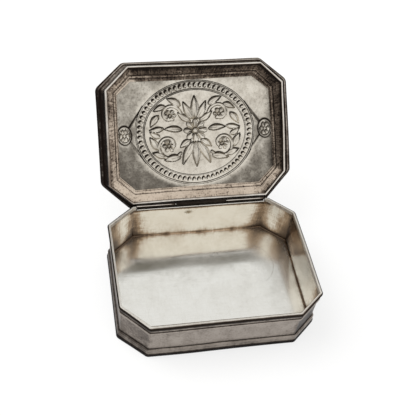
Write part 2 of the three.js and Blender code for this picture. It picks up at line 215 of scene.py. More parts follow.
@dataclass(frozen=True)
class Plan:
    """Canted rectangle of the rim's ridge, with softened corners."""

    width: float = 84.0
    depth: float = 62.4
    cant_x: float = 10.8
    cant_y: float = 9.7
    corner_radius: float = 1.1
    least_radius: float = 0.2
    arc_steps: int = 5
    side_steps: int = 30
    side_sharpness: float = 110.0

    def corners(self, offsets: Array) -> Array:
        """Mitred corners of the plan at each offset, counter-clockwise from the right front.

        Args:
            offsets: (p,) millimetres outwards.

        Returns:
            (p, 8, 2) corner points.
        """
        half_w, half_d = self.width / 2 + offsets, self.depth / 2 + offsets
        length = math.hypot(self.cant_x, self.cant_y)
        cut_x = self.cant_x + offsets * (1 + (self.cant_x - length) / self.cant_y)
        cut_y = self.cant_y + offsets * (1 + (self.cant_y - length) / self.cant_x)
        x = [half_w, half_w, half_w - cut_x, cut_x - half_w]
        y = [cut_y - half_d, half_d - cut_y, half_d, half_d]
        x = np.stack(x + [-a for a in x], axis=1)
        y = np.stack(y + [-a for a in y], axis=1)
        return np.stack([x, y], axis=2)

    def normals(self) -> Array:
        """Bearings of the eight sides.

        Returns:
            (8,) outward angles in radians.
        """
        cant = math.atan2(self.cant_x, self.cant_y)
        half = np.array([0.0, cant, math.pi / 2, math.pi - cant])
        return np.concatenate([half, half + math.pi])

    def path(self, offsets: Array) -> Array:
        """Points along the softened plan at each offset.

        Each corner is an arc of radius corner_radius + offset, tangent to its two sides, and each side
        is a straight run of evenly spaced points between two arcs.

        Args:
            offsets: (p,) millimetres outwards.

        Returns:
            (p, s, 2) points, the same stations for every offset.
        """
        offsets = np.asarray(offsets, float)
        out = self.normals()
        before = np.roll(out, 1)
        turn = np.mod(out - before, TURN)
        radius = np.maximum(self.corner_radius + offsets, self.least_radius)[:, None, None, None]
        middle = before + turn / 2
        inward = np.stack([np.cos(middle), np.sin(middle)], axis=1) / np.cos(turn / 2)[:, None]
        centre = self.corners(offsets)[:, :, None, :] - radius * inward[None, :, None, :]
        angle = before[:, None] + turn[:, None] * np.linspace(0, 1, self.arc_steps + 1)
        arcs = centre + radius * np.stack([np.cos(angle), np.sin(angle)], axis=2)[None]
        start, end = arcs[:, :, -1:], np.roll(arcs, -1, axis=1)[:, :, :1]
        share = (np.arange(1, self.side_steps + 1) / (self.side_steps + 1))[None, None, :, None]
        runs = start + (end - start) * share
        return np.concatenate([arcs, runs], axis=2).reshape(len(offsets), -1, 2)

    def path_clear_of_hinge(self, offsets: Array, half_cut: float) -> Array:
        """The points of path(), from one side of the hinge round the front to its other side.

        Args:
            offsets: (p,) millimetres outwards.
            half_cut: half the length that is left out at the back.

        Returns:
            (p, s, 2) points, the first and last of them at the cut.
        """
        per_side = self.arc_steps + 1 + self.side_steps
        ring = np.roll(self.path(offsets), -3 * per_side, axis=1)[:, : -self.side_steps]
        back = self.depth / 2 + offsets
        first, last = (
            np.stack([np.full_like(back, end), back], axis=1)[:, None] for end in (-half_cut, half_cut)
        )
        return np.concatenate([first, ring, last], axis=1)

    def reaches(self) -> Array:
        """Distances of the eight sides from the centre.

        Returns:
            (8,) millimetres.
        """
        length = math.hypot(self.cant_x, self.cant_y)
        cant = (self.width / 2 * self.cant_y + (self.depth / 2 - self.cant_y) * self.cant_x) / length
        half = np.array([self.width / 2, cant, self.depth / 2, cant])
        return np.concatenate([half, half])

    def outward(self, flat: Array) -> Array:
        """Distance of each plan point along the eight outward directions, (n, 8)."""
        out = self.normals()
        return flat @ np.stack([np.cos(out), np.sin(out)])

    def offset_of(self, flat: Array) -> Array:
        """Offset of each plan point: the largest of its distances beyond the eight sides."""
        return (self.outward(flat) - self.reaches()).max(axis=1)

    def by_side(self, flat: Array, values: SideValues) -> Array:
        """A value for each side, blended softly at the corners.

        Args:
            flat: (n, 2) plan points.
            values: one value for each Side.

        Returns:
            (n,) values, weighted by exp(side_sharpness * share), share being how far out a point lies.
        """
        share = self.outward(flat) / self.reaches()
        weight = np.exp(self.side_sharpness * (share - share.max(axis=1, keepdims=True)))
        return (weight @ np.array(values)) / weight.sum(axis=1)

    def on_sides(self, flat: Array, *sides: Side) -> Array:
        """1 on the sides named and 0 on the others, blended as by_side blends."""
        return self.by_side(flat, tuple(float(side in sides) for side in Side))

    def corner_shift(self, flat: Array, shifts: Shifts) -> Array:
        """Shift of each plan point when the eight corners are moved and the sides stay straight.

        A point is projected from the centre on to its side; its shift is that of the side's two
        corners, shared by where it falls between them.

        Args:
            flat: (n, 2) plan points.
            shifts: eight corner shifts in the order of corners().

        Returns:
            (n, 2) shifts.
        """
        share = self.outward(flat) / self.reaches()
        side = share.argmax(axis=1)
        on_side = flat / np.maximum(share.max(axis=1), 1e-3)[:, None]
        corner = self.corners(np.zeros(1))[0]
        along = np.roll(corner, -1, axis=0) - corner
        part = ((on_side - corner[side]) * along[side]).sum(axis=1) / (along[side] ** 2).sum(axis=1)
        part = unit(part)[:, None]
        moved = np.array(shifts)
        return moved[side] * (1 - part) + np.roll(moved, -1, axis=0)[side] * part

    def corner_nearness(self, flat: Array, reach: float | Array) -> Array:
        """How near each plan point is to a corner: exp(-(distance / reach) ** 2).

        Args:
            flat: (n, 2) plan points.
            reach: distance in millimetres at which the value has fallen to 1/e, one or per point.

        Returns:
            (n,) values from 0 to 1.
        """
        corners = self.corners(np.zeros(1))[0]
        gap = np.linalg.norm(flat[:, None, :] - corners[None], axis=2).min(axis=1)
        return hump(gap, 0, reach)


HINGE = Hinge()
PLAN = Plan()
FINE_PLAN = Plan(side_steps=76)
RIM_HEIGHT = 21.8
WALL_TOP = HINGE.z - HINGE.knuckle - HINGE.gap
WALL_OFFSET = 0.25
FLOOR = 1.2
SHEET = 0.7
FOOT_TOP = 4.9
BEAD_LOW = 16.7
BEAD_HIGH = 18.15
LID_FLOOR = RIM_HEIGHT + 0.2


@dataclass(frozen=True)
class HandWork:
    """How the box departs from a true canted plan: corner shifts in millimetres at several levels."""

    rim: Shifts = (
        (0.66, -1.46), (-0.34, 0.12), (0, 0), (0, 0),
        (-0.73, 0.45), (-0.02, 0.98), (0, 0), (0.44, -0.52),
    )
    base: Shifts = (
        (-0.23, -0.95), (-0.3, 0), (0, 0), (0, 0),
        (-0.9, -0.31), (-0.07, 0.85), (-0.24, 0.7), (-0.15, 0.24),
    )
    thick_rim: Shifts = ((0, 0), (0, 0), (0, 0), (0, 0), (0, 0), (0, 0), (-0.05, -0.6), (0.05, -0.35))
    thick_base: Shifts = (
        (0.15, -0.4), (0, 0), (0, 0), (0, 0),
        (0, 0), (-0.6, -0.6), (-0.3, -0.95), (0.3, -0.95),
    )
    lid_rim: Shifts = (
        (-0.26, -0.09), (-0.84, -1.18), (0, 0), (0, 0),
        (0.27, 0.9), (0.8, 0.64), (0.85, -0.02), (0.11, 0.15),
    )
    lid_edge: Shifts = (
        (0.3, -0.17), (0.61, -2.04), (0, 0), (0, 0),
        (-0.4, -0.96), (-0.5, 0.79), (-0.4, 0.77), (-0.17, 0.54),
    )
    panel: Shifts = (
        (-1.2, 0.5), (0.0, -1.7), (-0.1, -1.3), (-0.1, -1.2),
        (0.8, -1.0), (1.0, 0.5), (-0.4, 0.9), (-1.4, 0.3),
    )
    fade: float = 22.0
    outer_face: Span = (-0.4, -0.08)
    panel_offset: float = -6.0
    rim_offset: float = -0.9
    edge_offset: float = 2.25
    lid_top: float = 27.3

    def between(self, flat: Array, below: Shifts, above: Shifts, level: Array) -> Array:
        """Corner shifts at a level from 0, which is below, to 1, which is above."""
        return PLAN.corner_shift(flat, below) * (1 - level) + PLAN.corner_shift(flat, above) * level

    def of_box(self, points: Array, drawn: Array) -> Array:
        """Move points of the box: base shift below, rim shift above, fading towards the middle.

        Points of the outer face move on by the extra thickness of the front.

        Args:
            points: (n, 3) millimetres.
            drawn: the same points before any unevenness, which tell the outer face from the inner.

        Returns:
            (n, 3) moved points.
        """
        flat = points[:, :2]
        level = rise(points[:, 2], 0, RIM_HEIGHT)[:, None]
        fade = unit(1 + PLAN.offset_of(flat) / self.fade)[:, None]
        outer = smooth(PLAN.offset_of(drawn[:, :2]), *self.outer_face)[:, None]
        moved = points.copy()
        moved[:, :2] += self.between(flat, self.base, self.rim, level) * fade
        moved[:, :2] += self.between(flat, self.thick_base, self.thick_rim, level) * outer
        return moved

    def of_lid(self, points: Array) -> Array:
        """Move points of the shut lid: panel shift inside, rim shift at the rim, edge shift outside.

        Above lid_top, where there is no rim, the panel's shift gives way to the edge's directly.

        Args:
            points: (n, 3) millimetres, lid shut.

        Returns:
            (n, 3) moved points.
        """
        flat = points[:, :2]
        offset = PLAN.offset_of(flat)
        above = points[:, 2] > self.lid_top
        straight = rise(offset, self.panel_offset, self.edge_offset)
        inner = np.where(above, 1 - straight, rise(-offset, -self.rim_offset, -self.panel_offset))[:, None]
        outer = np.where(above, straight, rise(offset, self.rim_offset, self.edge_offset))[:, None]
        moved = points.copy()
        for shifts, share in ((self.panel, inner), (self.lid_edge, outer), (self.lid_rim, 1 - inner - outer)):
            moved[:, :2] += PLAN.corner_shift(flat, shifts) * share
        return moved


HAND_WORK = HandWork()


@dataclass
class Surface:
    """Points, faces and per-point marks of one piece, before it becomes a mesh."""

    points: Array
    quads: Array
    triangles: Array = field(default_factory=lambda: np.zeros((0, 3), int))
    marks: dict[str, Array] = field(default_factory=dict)
    face_finish: Array | None = None

    @property
    def flat(self) -> Array:
        """Plan points, (n, 2)."""
        return self.points[:, :2]

    def side_mark(self, values: SideValues) -> Array:
        """A mark with one value for each side of the plan."""
        return PLAN.by_side(self.flat, values)


def rounded_section(corners: list[Corner], steps: int = 4) -> Array:
    """Closed section with each corner eased.

    A corner V with radius r becomes the curve (1-u)^2 A + 2u(1-u) V + u^2 B, where A and B lie on the
    two sides at r * tan(turn / 2) from V, and points along each flat keep it flat.

    Args:
        corners: (offset, height, radius) counter-clockwise.
        steps: pieces of each eased corner.

    Returns:
        (p, 2) points counter-clockwise.
    """
    most_of_side, least_reach, flat_shares = 0.45, 0.004, (0.12, 0.5, 0.88)
    given = np.array(corners, float)
    point, radius = given[:, :2], given[:, 2]
    to_next = np.roll(point, -1, axis=0) - point
    length = np.maximum(np.linalg.norm(to_next, axis=1), TINY)
    along = to_next / length[:, None]
    came = np.roll(along, 1, axis=0)
    cosine = np.clip((came * along).sum(axis=1), -1, 1)
    reach = radius * np.tan(np.arccos(cosine) / 2)
    reach = np.minimum(reach, most_of_side * np.minimum(length, np.roll(length, 1)))
    reach = np.maximum(reach, least_reach)[:, None]
    a, b = point - came * reach, point + along * reach
    u = np.linspace(0, 1, steps + 1)[None, :, None]
    curve = (1 - u) ** 2 * a[:, None] + 2 * u * (1 - u) * point[:, None] + u**2 * b[:, None]
    flat_end = np.roll(a, -1, axis=0)
    near = np.stack([b + (flat_end - b) * share for share in flat_shares], axis=1)
    return np.concatenate([curve, near], axis=1).reshape(-1, 2)


def arc(centre: Span, radii: Span, start: float, end: float, steps: int) -> list[Corner]:
    """Corner list of an elliptical arc, with no further easing.

    Args:
        centre: its middle, (offset, height).
        radii: along the offset and along the height; a minus sign turns the arc over.
        start: first angle, in quarter turns from the outward axis.
        end: last angle.
        steps: pieces of the arc.

    Returns:
        Corners for rounded_section.
    """
    angle = np.linspace(start, end, steps + 1) * math.pi / 2
    x = centre[0] + radii[0] * np.cos(angle)
    z = centre[1] + radii[1] * np.sin(angle)
    return [(float(a), float(b), 0.0) for a, b in zip(x, z)]


def section_marks(section: Array, repeats: int, reach: float = 0.45) -> dict[str, Array]:
    """How hollow and how exposed each point of a closed section is.

    The turn at every point is spread along the section by exp(-(distance / reach) ** 2); left turns
    add to the exposed mark and right turns to the hollow one.

    Args:
        section: (p, 2) counter-clockwise.
        repeats: how often each section point occurs in the piece.
        reach: spread in millimetres.

    Returns:
        The hollow and edge marks of the piece, (p * repeats,) each.
    """
    most_hollow, most_exposed = 1.5, 2.0
    step = np.roll(section, -1, axis=0) - section
    came = np.roll(step, 1, axis=0)
    turn = np.arctan2(came[:, 0] * step[:, 1] - came[:, 1] * step[:, 0], (came * step).sum(axis=1))
    gap = np.linalg.norm(section[:, None] - section[None], axis=2)
    near = hump(gap, 0, reach)
    hollow = np.minimum(near @ np.maximum(-turn, 0), most_hollow)
    edge = np.minimum(near @ np.maximum(turn, 0), most_exposed)
    return {"hollow": np.repeat(hollow, repeats), "edge": np.repeat(edge, repeats)}


def grid_quads(rows: int, columns: int, wrap_rows: bool, wrap_columns: bool) -> Array:
    """Quads of a grid of points stored row by row.

    Args:
        rows: rows of points.
        columns: points in a row.
        wrap_rows: whether the last row joins the first.
        wrap_columns: whether the last column joins the first.

    Returns:
        (q, 4) point numbers.
    """
    i = np.arange(rows if wrap_rows else rows - 1)[:, None]
    j = np.arange(columns if wrap_columns else columns - 1)[None, :]
    i2, j2 = (i + 1) % rows, (j + 1) % columns
    cells = [i * columns + j, i * columns + j2, i2 * columns + j2, i2 * columns + j]
    return np.stack(np.broadcast_arrays(*cells), axis=2).reshape(-1, 4)


def end_cap(section: Array) -> Array:
    """Counter-clockwise triangles that fill a closed section.

    Args:
        section: (p, 2) points.

    Returns:
        (t, 3) point numbers.
    """
    cap = np.array(tessellate_polygon([[Vector((*point, 0)) for point in section]]), int)
    edge1, edge2 = (section[cap[:, k]] - section[cap[:, 0]] for k in (1, 2))
    wrong = edge1[:, 0] * edge2[:, 1] - edge1[:, 1] * edge2[:, 0] < 0
    cap[wrong] = cap[wrong][:, ::-1]
    return cap


def wobble(points: Array) -> Array:
    """Small unevenness of hand work: slow sine waves, the same for pieces that touch.

    Each axis is moved by amount * sin(k . p + phase) summed over three fixed waves; the height is not
    moved at the ground.

    Args:
        points: (n, 3) millimetres.

    Returns:
        (n, 3) moved points.
    """
    waves = np.array([[0.11, 0.07, 0.05], [-0.06, 0.13, 0.09], [0.19, -0.16, 0.12]])
    phase = np.array([[0.3, 1.9, 4.1], [2.2, 0.7, 5.3], [3.9, 2.8, 1.1]])
    amount = np.array([[0.10, 0.10, 0.05], [0.07, 0.07, 0.04], [0.035, 0.035, 0.02]])
    free_above = 2.0
    swing = (points @ waves.T)[:, :, None]
    move = (amount * np.sin(swing + phase)).sum(axis=1)
    move[:, 2] *= rise(points[:, 2], 0, free_above)
    return points + move


def swept(section: Array, ring: Array, closed: bool) -> Surface:
    """Carry a closed section round plan points, giving a closed skin.

    Args:
        section: (p, 2) of (offset, height).
        ring: (p, s, 2) plan points of every section point.
        closed: True where the path meets itself; ends are capped otherwise.

    Returns:
        The skin with hollow and edge marks, and with its band mark: (along, across) in millimetres.
    """
    count, stations = ring.shape[:2]
    height = np.broadcast_to(section[:, 1][:, None, None], (count, stations, 1))
    points = np.concatenate([ring, height], axis=2).reshape(-1, 3)
    surface = Surface(points, grid_quads(count, stations, True, closed))
    if not closed:
        first = end_cap(section) * stations
        surface.triangles = np.concatenate([first, first[:, ::-1] + stations - 1])
    along, across = (
        np.concatenate([[0], np.cumsum(np.linalg.norm(np.diff(line, axis=0), axis=1))])
        for line in (ring[0], section)
    )
    place = np.stack(np.broadcast_arrays(along[None, :], across[:, None], np.zeros((1, 1))), axis=2)
    surface.marks = section_marks(section, stations) | {"band": place.reshape(-1, 3)}
    return surface


def band(section: Array, plan: Plan = PLAN) -> Surface:
    """Carry a section round the whole plan."""
    return swept(section, plan.path(section[:, 0]), True)


def bar(section: Array, half_length: float, steps: int = 24) -> Surface:
    """A straight strip along X, its ends capped.

    Args:
        section: (p, 2) closed section of (y, z).
        half_length: half its length.
        steps: pieces along it.

    Returns:
        The closed skin with hollow and edge marks.
    """
    x = np.linspace(-half_length, half_length, steps + 1)
    count, stations = len(section), len(x)
    points = np.stack(np.broadcast_arrays(x[None, :], section[:, :1], section[:, 1:]), axis=2).reshape(-1, 3)
    first = end_cap(section) * stations
    triangles = np.concatenate([first[:, ::-1], first + steps])
    quads = grid_quads(count, stations, True, False)[:, ::-1]
    return Surface(points, quads, triangles, section_marks(section, stations))


def turned(profile: Array, centre_x: float, sides: int = 48) -> Surface:
    """A round piece on the hinge line: a closed (x, radius) profile turned about the pin.

    Args:
        profile: (p, 2), counter-clockwise in the (x, radius) plane.
        centre_x: middle of the piece along the hinge.
        sides: steps of the turn.

    Returns:
        The closed skin with hollow and edge marks.
    """
    mark_reach = 0.2
    angle = np.linspace(0, TURN, sides, endpoint=False)[None]
    x, radius = centre_x + profile[:, :1], profile[:, 1:]
    points = np.stack(np.broadcast_arrays(
        x, HINGE.y + radius * np.cos(angle), HINGE.z + radius * np.sin(angle),
    ), axis=2).reshape(-1, 3)
    quads = grid_quads(len(profile), sides, True, True)[:, ::-1]
    return Surface(points, quads, marks=section_marks(profile, sides, mark_reach))


def sheet_from_rows(x: Array, y: Array, lift: Array, low: float, centre_lift: float | None) -> Surface:
    """A closed sheet of even thickness over rows of plan points that run inwards.

    Inner face at low + lift, outer face SHEET above it, a wall along the outer edge, and either a
    wall along the inner edge or a fan to one centre point.

    Args:
        x: (rows, columns) plan points, closed along the columns.
        y: (rows, columns) plan points.
        lift: (rows, columns) relief.
        low: height of the flat inner face.
        centre_lift: relief of the centre point, or None for an open middle.

    Returns:
        The closed sheet, points of the inner face first.
    """
    rows, columns = x.shape
    face = np.stack([x, y, low + lift], axis=2).reshape(-1, 3)
    if centre_lift is not None:
        face = np.concatenate([face, [[0.0, float(y.mean()), low + centre_lift]]])
    count = len(face)
    over = face + np.array([0.0, 0.0, SHEET])
    inner = grid_quads(rows, columns, False, True)
    j = np.arange(columns)
    j2 = np.roll(j, -1)
    last = (rows - 1) * columns
    walls = [np.stack([j, j2, count + j2, count + j], axis=1)]
    triangles = np.zeros((0, 3), int)
    if centre_lift is None:
        walls.append(np.stack([last + j2, last + j, count + last + j, count + last + j2], axis=1))
    else:
        pole = np.full_like(j, count - 1)
        triangles = np.concatenate([
            np.stack([last + j, pole, last + j2], axis=1),
            np.stack([count + last + j, count + last + j2, count + pole], axis=1),
        ])
    quads = np.concatenate([inner[:, ::-1], count + inner, *walls])
    return Surface(np.concatenate([face, over]), quads, triangles)


class NodeBench:
    """Short calls for laying out a node tree."""

    def __init__(self, tree: bpy.types.NodeTree) -> None:
        """Start with an empty tree."""
        self.tree = tree
        tree.nodes.clear()

    def node(self, kind: str, inputs: dict | None = None, **settings: object) -> bpy.types.Node:
        """Add a node, set its properties, and link or set its inputs.

        Args:
            kind: node type name without its leading ShaderNode, or a full name of another kind.
            inputs: socket name or index to a value or an output socket.
            settings: node properties.

        Returns:
            The node.
        """
        made = self.tree.nodes.new(kind if kind.startswith("NodeGroup") else f"ShaderNode{kind}")
        for key, value in settings.items():
            setattr(made, key, value)
        for key, value in (inputs or {}).items():
            if isinstance(value, Socket):
                self.tree.links.new(value, made.inputs[key])
            else:
                made.inputs[key].default_value = value
        return made

    def math(self, operation: str, a: object, b: object = 0.0, clamp: bool = False) -> Socket:
        """One Math node on values or sockets."""
        return self.node("Math", {0: a, 1: b}, operation=operation, use_clamp=clamp).outputs[0]

    def total(self, first: object, *others: object) -> Socket:
        """Sum of values or sockets."""
        for other in others:
            first = self.math("ADD", first, other)
        return first

    def product(self, first: object, *others: object) -> Socket:
        """Product of values or sockets."""
        for other in others:
            first = self.math("MULTIPLY", first, other)
        return first

    def about_zero(self, value: object, amount: object) -> Socket:
        """A value from 0 to 1 moved to lie about 0, times an amount."""
        return self.product(self.math("SUBTRACT", value, 0.5), amount)

    def vector(self, operation: str, a: object, b: object = (0.0, 0.0, 0.0)) -> Socket:
        """One Vector Math node; a length or a dot product gives its value."""
        made = self.node("VectorMath", {0: a, 1: b}, operation=operation)
        return made.outputs["Value" if operation in ("LENGTH", "DOT_PRODUCT") else "Vector"]

    def attribute(self, name: str, output: str = "Fac") -> Socket:
        """A mark of the mesh."""
        return self.node("Attribute", attribute_name=name).outputs[output]

    def blend(self, factor: object, a: object, b: object) -> Socket:
        """Mix two colours by a factor; a colour of three numbers is opaque."""
        a, b = ((*colour, 1.0) if isinstance(colour, tuple) else colour for colour in (a, b))
        return self.node("Mix", {0: factor, 6: a, 7: b}, data_type="RGBA").outputs[2]

    def ramp(
        self, value: object, low: float, high: float, to_low: float = 0.0, to_high: float = 1.0
    ) -> Socket:
        """Smooth step of a value, from to_low where it is low to to_high where it is high."""
        span = {"Value": value, "From Min": low, "From Max": high, "To Min": to_low, "To Max": to_high}
        return self.node("MapRange", span, interpolation_type="SMOOTHSTEP").outputs[0]

    def noise(self, vector: object, scale: object, detail: float, roughness: float) -> Socket:
        """Value of a noise texture."""
        given = {"Vector": vector, "Scale": scale, "Detail": detail, "Roughness": roughness}
        return self.node("TexNoise", given).outputs[0]


@dataclass
class NodeGroup:
    """A shader node group while it is laid out: its bench, its inputs by name and its output node."""

    bench: NodeBench
    given: dict[str, Socket]
    leave: bpy.types.Node

    @classmethod
    def new(cls, name: str, vectors: Names, floats: Names, results: Names) -> NodeGroup:
        """Start a group.

        Args:
            name: group name.
            vectors: names of its vector inputs.
            floats: names of its number inputs.
            results: names of its outputs, all numbers.

        Returns:
            The group with its sockets.
        """
        tree = bpy.data.node_groups.new(name, "ShaderNodeTree")
        sockets = [("INPUT", "NodeSocketVector", key) for key in vectors]
        sockets += [("INPUT", "NodeSocketFloat", key) for key in floats]
        sockets += [("OUTPUT", "NodeSocketFloat", key) for key in results]
        for way, kind, key in sockets:
            tree.interface.new_socket(key, in_out=way, socket_type=kind)
        bench = NodeBench(tree)
        entry, leave = bench.node("NodeGroupInput"), bench.node("NodeGroupOutput")
        return cls(bench, {key: entry.outputs[key] for key in (*vectors, *floats)}, leave)

    def finish(self, results: dict[str, Socket]) -> bpy.types.NodeTree:
        """Link the results to the group's outputs.

        Args:
            results: sockets by output name.

        Returns:
            The group's tree.
        """
        for key, socket in results.items():
            self.bench.tree.links.new(socket, self.leave.inputs[key])
        return self.bench.tree


def tarnish_and_shade_group() -> bpy.types.NodeTree:
    """Where tarnish and painted shade lie: hollows, a film, clouds at two scales, streaks of a band and small
    pits.

    Returns:
        A group that gives the tarnish and painted shade from 0 to 1, and its clouds.
    """
    broad_share, fine_share, fine_times = 0.62, 0.38, 5.5
    upright, lengthwise = (1.6, 0.12, 1.0), (0.07, 2.4, 1.0)
    pit_scale, pit_range = 1200.0, (0.48, 0.74)
    # Its mask is tarnish together with the painted shade that the hollow and film marks carry.
    group = NodeGroup.new(
        "tarnish", ("Vector", "Band"), ("Hollow", "Film", "Cloud", "Scale", "Streak", "Pit"),
        ("Mask", "Cloud"),
    )
    bench, given = group.bench, group.given
    broad = bench.noise(given["Vector"], given["Scale"], 3.0, 0.6)
    fine = bench.noise(given["Vector"], bench.product(given["Scale"], fine_times), 5.0, 0.65)
    cloud = bench.total(bench.product(broad, broad_share), bench.product(fine, fine_share))
    streaks = []
    for stretch in (upright, lengthwise):
        placed = bench.node("Mapping", {"Vector": given["Band"], "Scale": stretch}).outputs[0]
        streaks.append(bench.about_zero(bench.noise(placed, 1.0, 3.0, 0.6), given["Streak"]))
    pits = bench.ramp(bench.noise(given["Vector"], pit_scale, 2.5, 0.55), *pit_range)
    total = bench.total(
        given["Hollow"], given["Film"], bench.about_zero(cloud, given["Cloud"]), *streaks,
        bench.product(pits, given["Pit"]),
    )
    return group.finish({"Mask": bench.ramp(total, 0.0, 1.0), "Cloud": bench.ramp(cloud, 0.3, 0.7)})


def scratch_group() -> bpy.types.NodeTree:
    """Fine handling scratches: thin ridges of stretched noise in two directions, with pitting.

    Returns:
        A group that gives a height for bump, and the scratch lines.
    """
    directions = (((0.2, 0.1, 0.5), (0.05, 1.0, 1.0)), ((0.4, 0.9, -0.8), (1.0, 0.07, 1.0)))
    line_width, line_depth, pit_times, pit_height = 0.035, 0.5, 0.8, 0.6
    group = NodeGroup.new("handling_scratches", ("Vector",), ("Scale",), ("Height", "Lines"))
    bench, given = group.bench, group.given
    lines = []
    for turn, stretch in directions:
        placed = bench.node("Mapping", {"Vector": given["Vector"], "Rotation": turn, "Scale": stretch})
        value = bench.noise(placed.outputs[0], given["Scale"], 2.0, 0.5)
        away = bench.math("ABSOLUTE", bench.math("SUBTRACT", value, 0.5))
        lines.append(bench.ramp(away, line_width, 0.0))
    both = bench.math("MAXIMUM", *lines)
    pits = bench.noise(given["Vector"], bench.product(given["Scale"], pit_times), 4.0, 0.7)
    height = bench.math("SUBTRACT", bench.product(pits, pit_height), bench.product(both, line_depth))
    return group.finish({"Height": height, "Lines": both})


def wear_group() -> bpy.types.NodeTree:
    """Bright worn edges, broken up by noise.

    Returns:
        A group that gives the wear from 0 to 1.
    """
    patch_scale, patch_amount, wear_range = 420.0, 0.9, (0.45, 1.15)
    group = NodeGroup.new("edge_wear", ("Vector",), ("Edge", "Amount"), ("Mask",))
    bench, given = group.bench, group.given
    patch = bench.about_zero(bench.noise(given["Vector"], patch_scale, 3.0, 0.6), patch_amount)
    value = bench.total(bench.product(given["Edge"], given["Amount"]), patch)
    return group.finish({"Mask": bench.ramp(value, *wear_range)})


@dataclass(frozen=True)
class Stain:
    """Thin arc left by something round that stood in the box: centre, radius and width in metres."""

    x: float
    y: float
    radius: float
    width: float = 0.00045
    amount: float = 0.17
    faces: Place = (0.85, 0.25, 0.0)
    fade: Span = (-0.1, 0.35)

    def mask(self, bench: NodeBench, where: Socket) -> Socket:
        """A line where the distance from the centre is the radius, faded away from one bearing.

        Args:
            bench: bench of the material.
            where: object coordinates.

        Returns:
            The film that the stain adds.
        """
        flat = bench.vector("MULTIPLY", bench.vector("SUBTRACT", where, (self.x, self.y, 0)), (1, 1, 0))
        gap = bench.math("SUBTRACT", bench.vector("LENGTH", flat), self.radius)
        line = bench.ramp(bench.math("ABSOLUTE", gap), self.width, 0.0)
        near = bench.vector("DOT_PRODUCT", bench.vector("NORMALIZE", flat), self.faces)
        return bench.product(line, bench.ramp(near, *self.fade), self.amount)


@dataclass(frozen=True)
class SilverFinish:
    """One state of the silver: its colours, how tarnish and wear lie on it, and its gloss."""

    state: Silver
    bright: Colour
    tint: Colour
    brown: Colour
    dark: Colour
    film: float = 0.0
    hollow: float = 0.6
    cloud: float = 1.0
    cloud_scale: float = 90.0
    streak: float = 0.0
    pit: float = 0.0
    tint_amount: float = 0.6
    wear: float = 0.35
    rough_clean: float = 0.22
    rough_dark: float = 0.45
    rough_cloud: float = 0.06
    scratch_scale: float = 900.0
    scratch_tint: float = 0.16
    bump: float = 0.06
    bump_distance: float = 0.0004
    brown_range: Span = (0.0, 0.55)
    dark_range: Span = (0.4, 0.95)
    stain: Stain | None = None

    def tarnish(self, bench: NodeBench, where: Socket, tree: bpy.types.NodeTree) -> tuple[Socket, Socket]:
        """Tarnish and painted shade of this finish, from the marks of the mesh.

        Args:
            bench: bench of the material.
            where: object coordinates.
            tree: the tarnish group.

        Returns:
            The tarnish and painted shade from 0 to 1, and its clouds.
        """
        film = bench.total(bench.attribute("film"), self.film)
        if self.stain:
            film = bench.total(film, self.stain.mask(bench, where))
        made = bench.node("Group", {
            "Vector": where, "Band": bench.attribute("band", "Vector"), "Film": film,
            "Hollow": bench.product(bench.attribute("hollow"), self.hollow),
            "Cloud": self.cloud, "Scale": self.cloud_scale, "Streak": self.streak, "Pit": self.pit,
        }, node_tree=tree)
        return made.outputs["Mask"], made.outputs["Cloud"]

    def build(self, groups: dict[str, bpy.types.NodeTree]) -> bpy.types.Material:
        """Lay out the material.

        Args:
            groups: shared node groups by name.

        Returns:
            The material.
        """
        material = bpy.data.materials.new(self.state.value)
        material.use_nodes = True
        bench = NodeBench(material.node_tree)
        where = bench.node("TexCoord").outputs["Object"]
        mask, cloud = self.tarnish(bench, where, groups["tarnish"])
        edges = {"Vector": where, "Edge": bench.attribute("edge"), "Amount": self.wear}
        worn = bench.node("Group", edges, node_tree=groups["wear"]).outputs["Mask"]
        scratches = {"Vector": where, "Scale": self.scratch_scale}
        scratched = bench.node("Group", scratches, node_tree=groups["scratches"]).outputs
        colour = bench.blend(bench.product(cloud, self.tint_amount), self.bright, self.tint)
        colour = bench.blend(bench.ramp(mask, *self.brown_range), colour, self.brown)
        colour = bench.blend(bench.ramp(mask, *self.dark_range), colour, self.dark)
        clean = bench.math("SUBTRACT", 1.0, mask, clamp=True)
        colour = bench.blend(bench.product(scratched["Lines"], self.scratch_tint, clean), colour, self.tint)
        colour = bench.blend(worn, colour, self.bright)
        dull = bench.math("SUBTRACT", mask, worn, clamp=True)
        rough = bench.total(
            bench.ramp(dull, 0.0, 1.0, self.rough_clean, self.rough_dark),
            bench.about_zero(cloud, self.rough_cloud), bench.attribute("matt"),
        )
        relief = {"Height": scratched["Height"], "Strength": self.bump, "Distance": self.bump_distance}
        normal = bench.node("Bump", relief).outputs[0]
        shader = bench.node(
            "BsdfPrincipled", {"Base Color": colour, "Roughness": rough, "Metallic": 1.0, "Normal": normal},
        )
        bench.node("OutputMaterial", {"Surface": shader.outputs[0]})
        return material
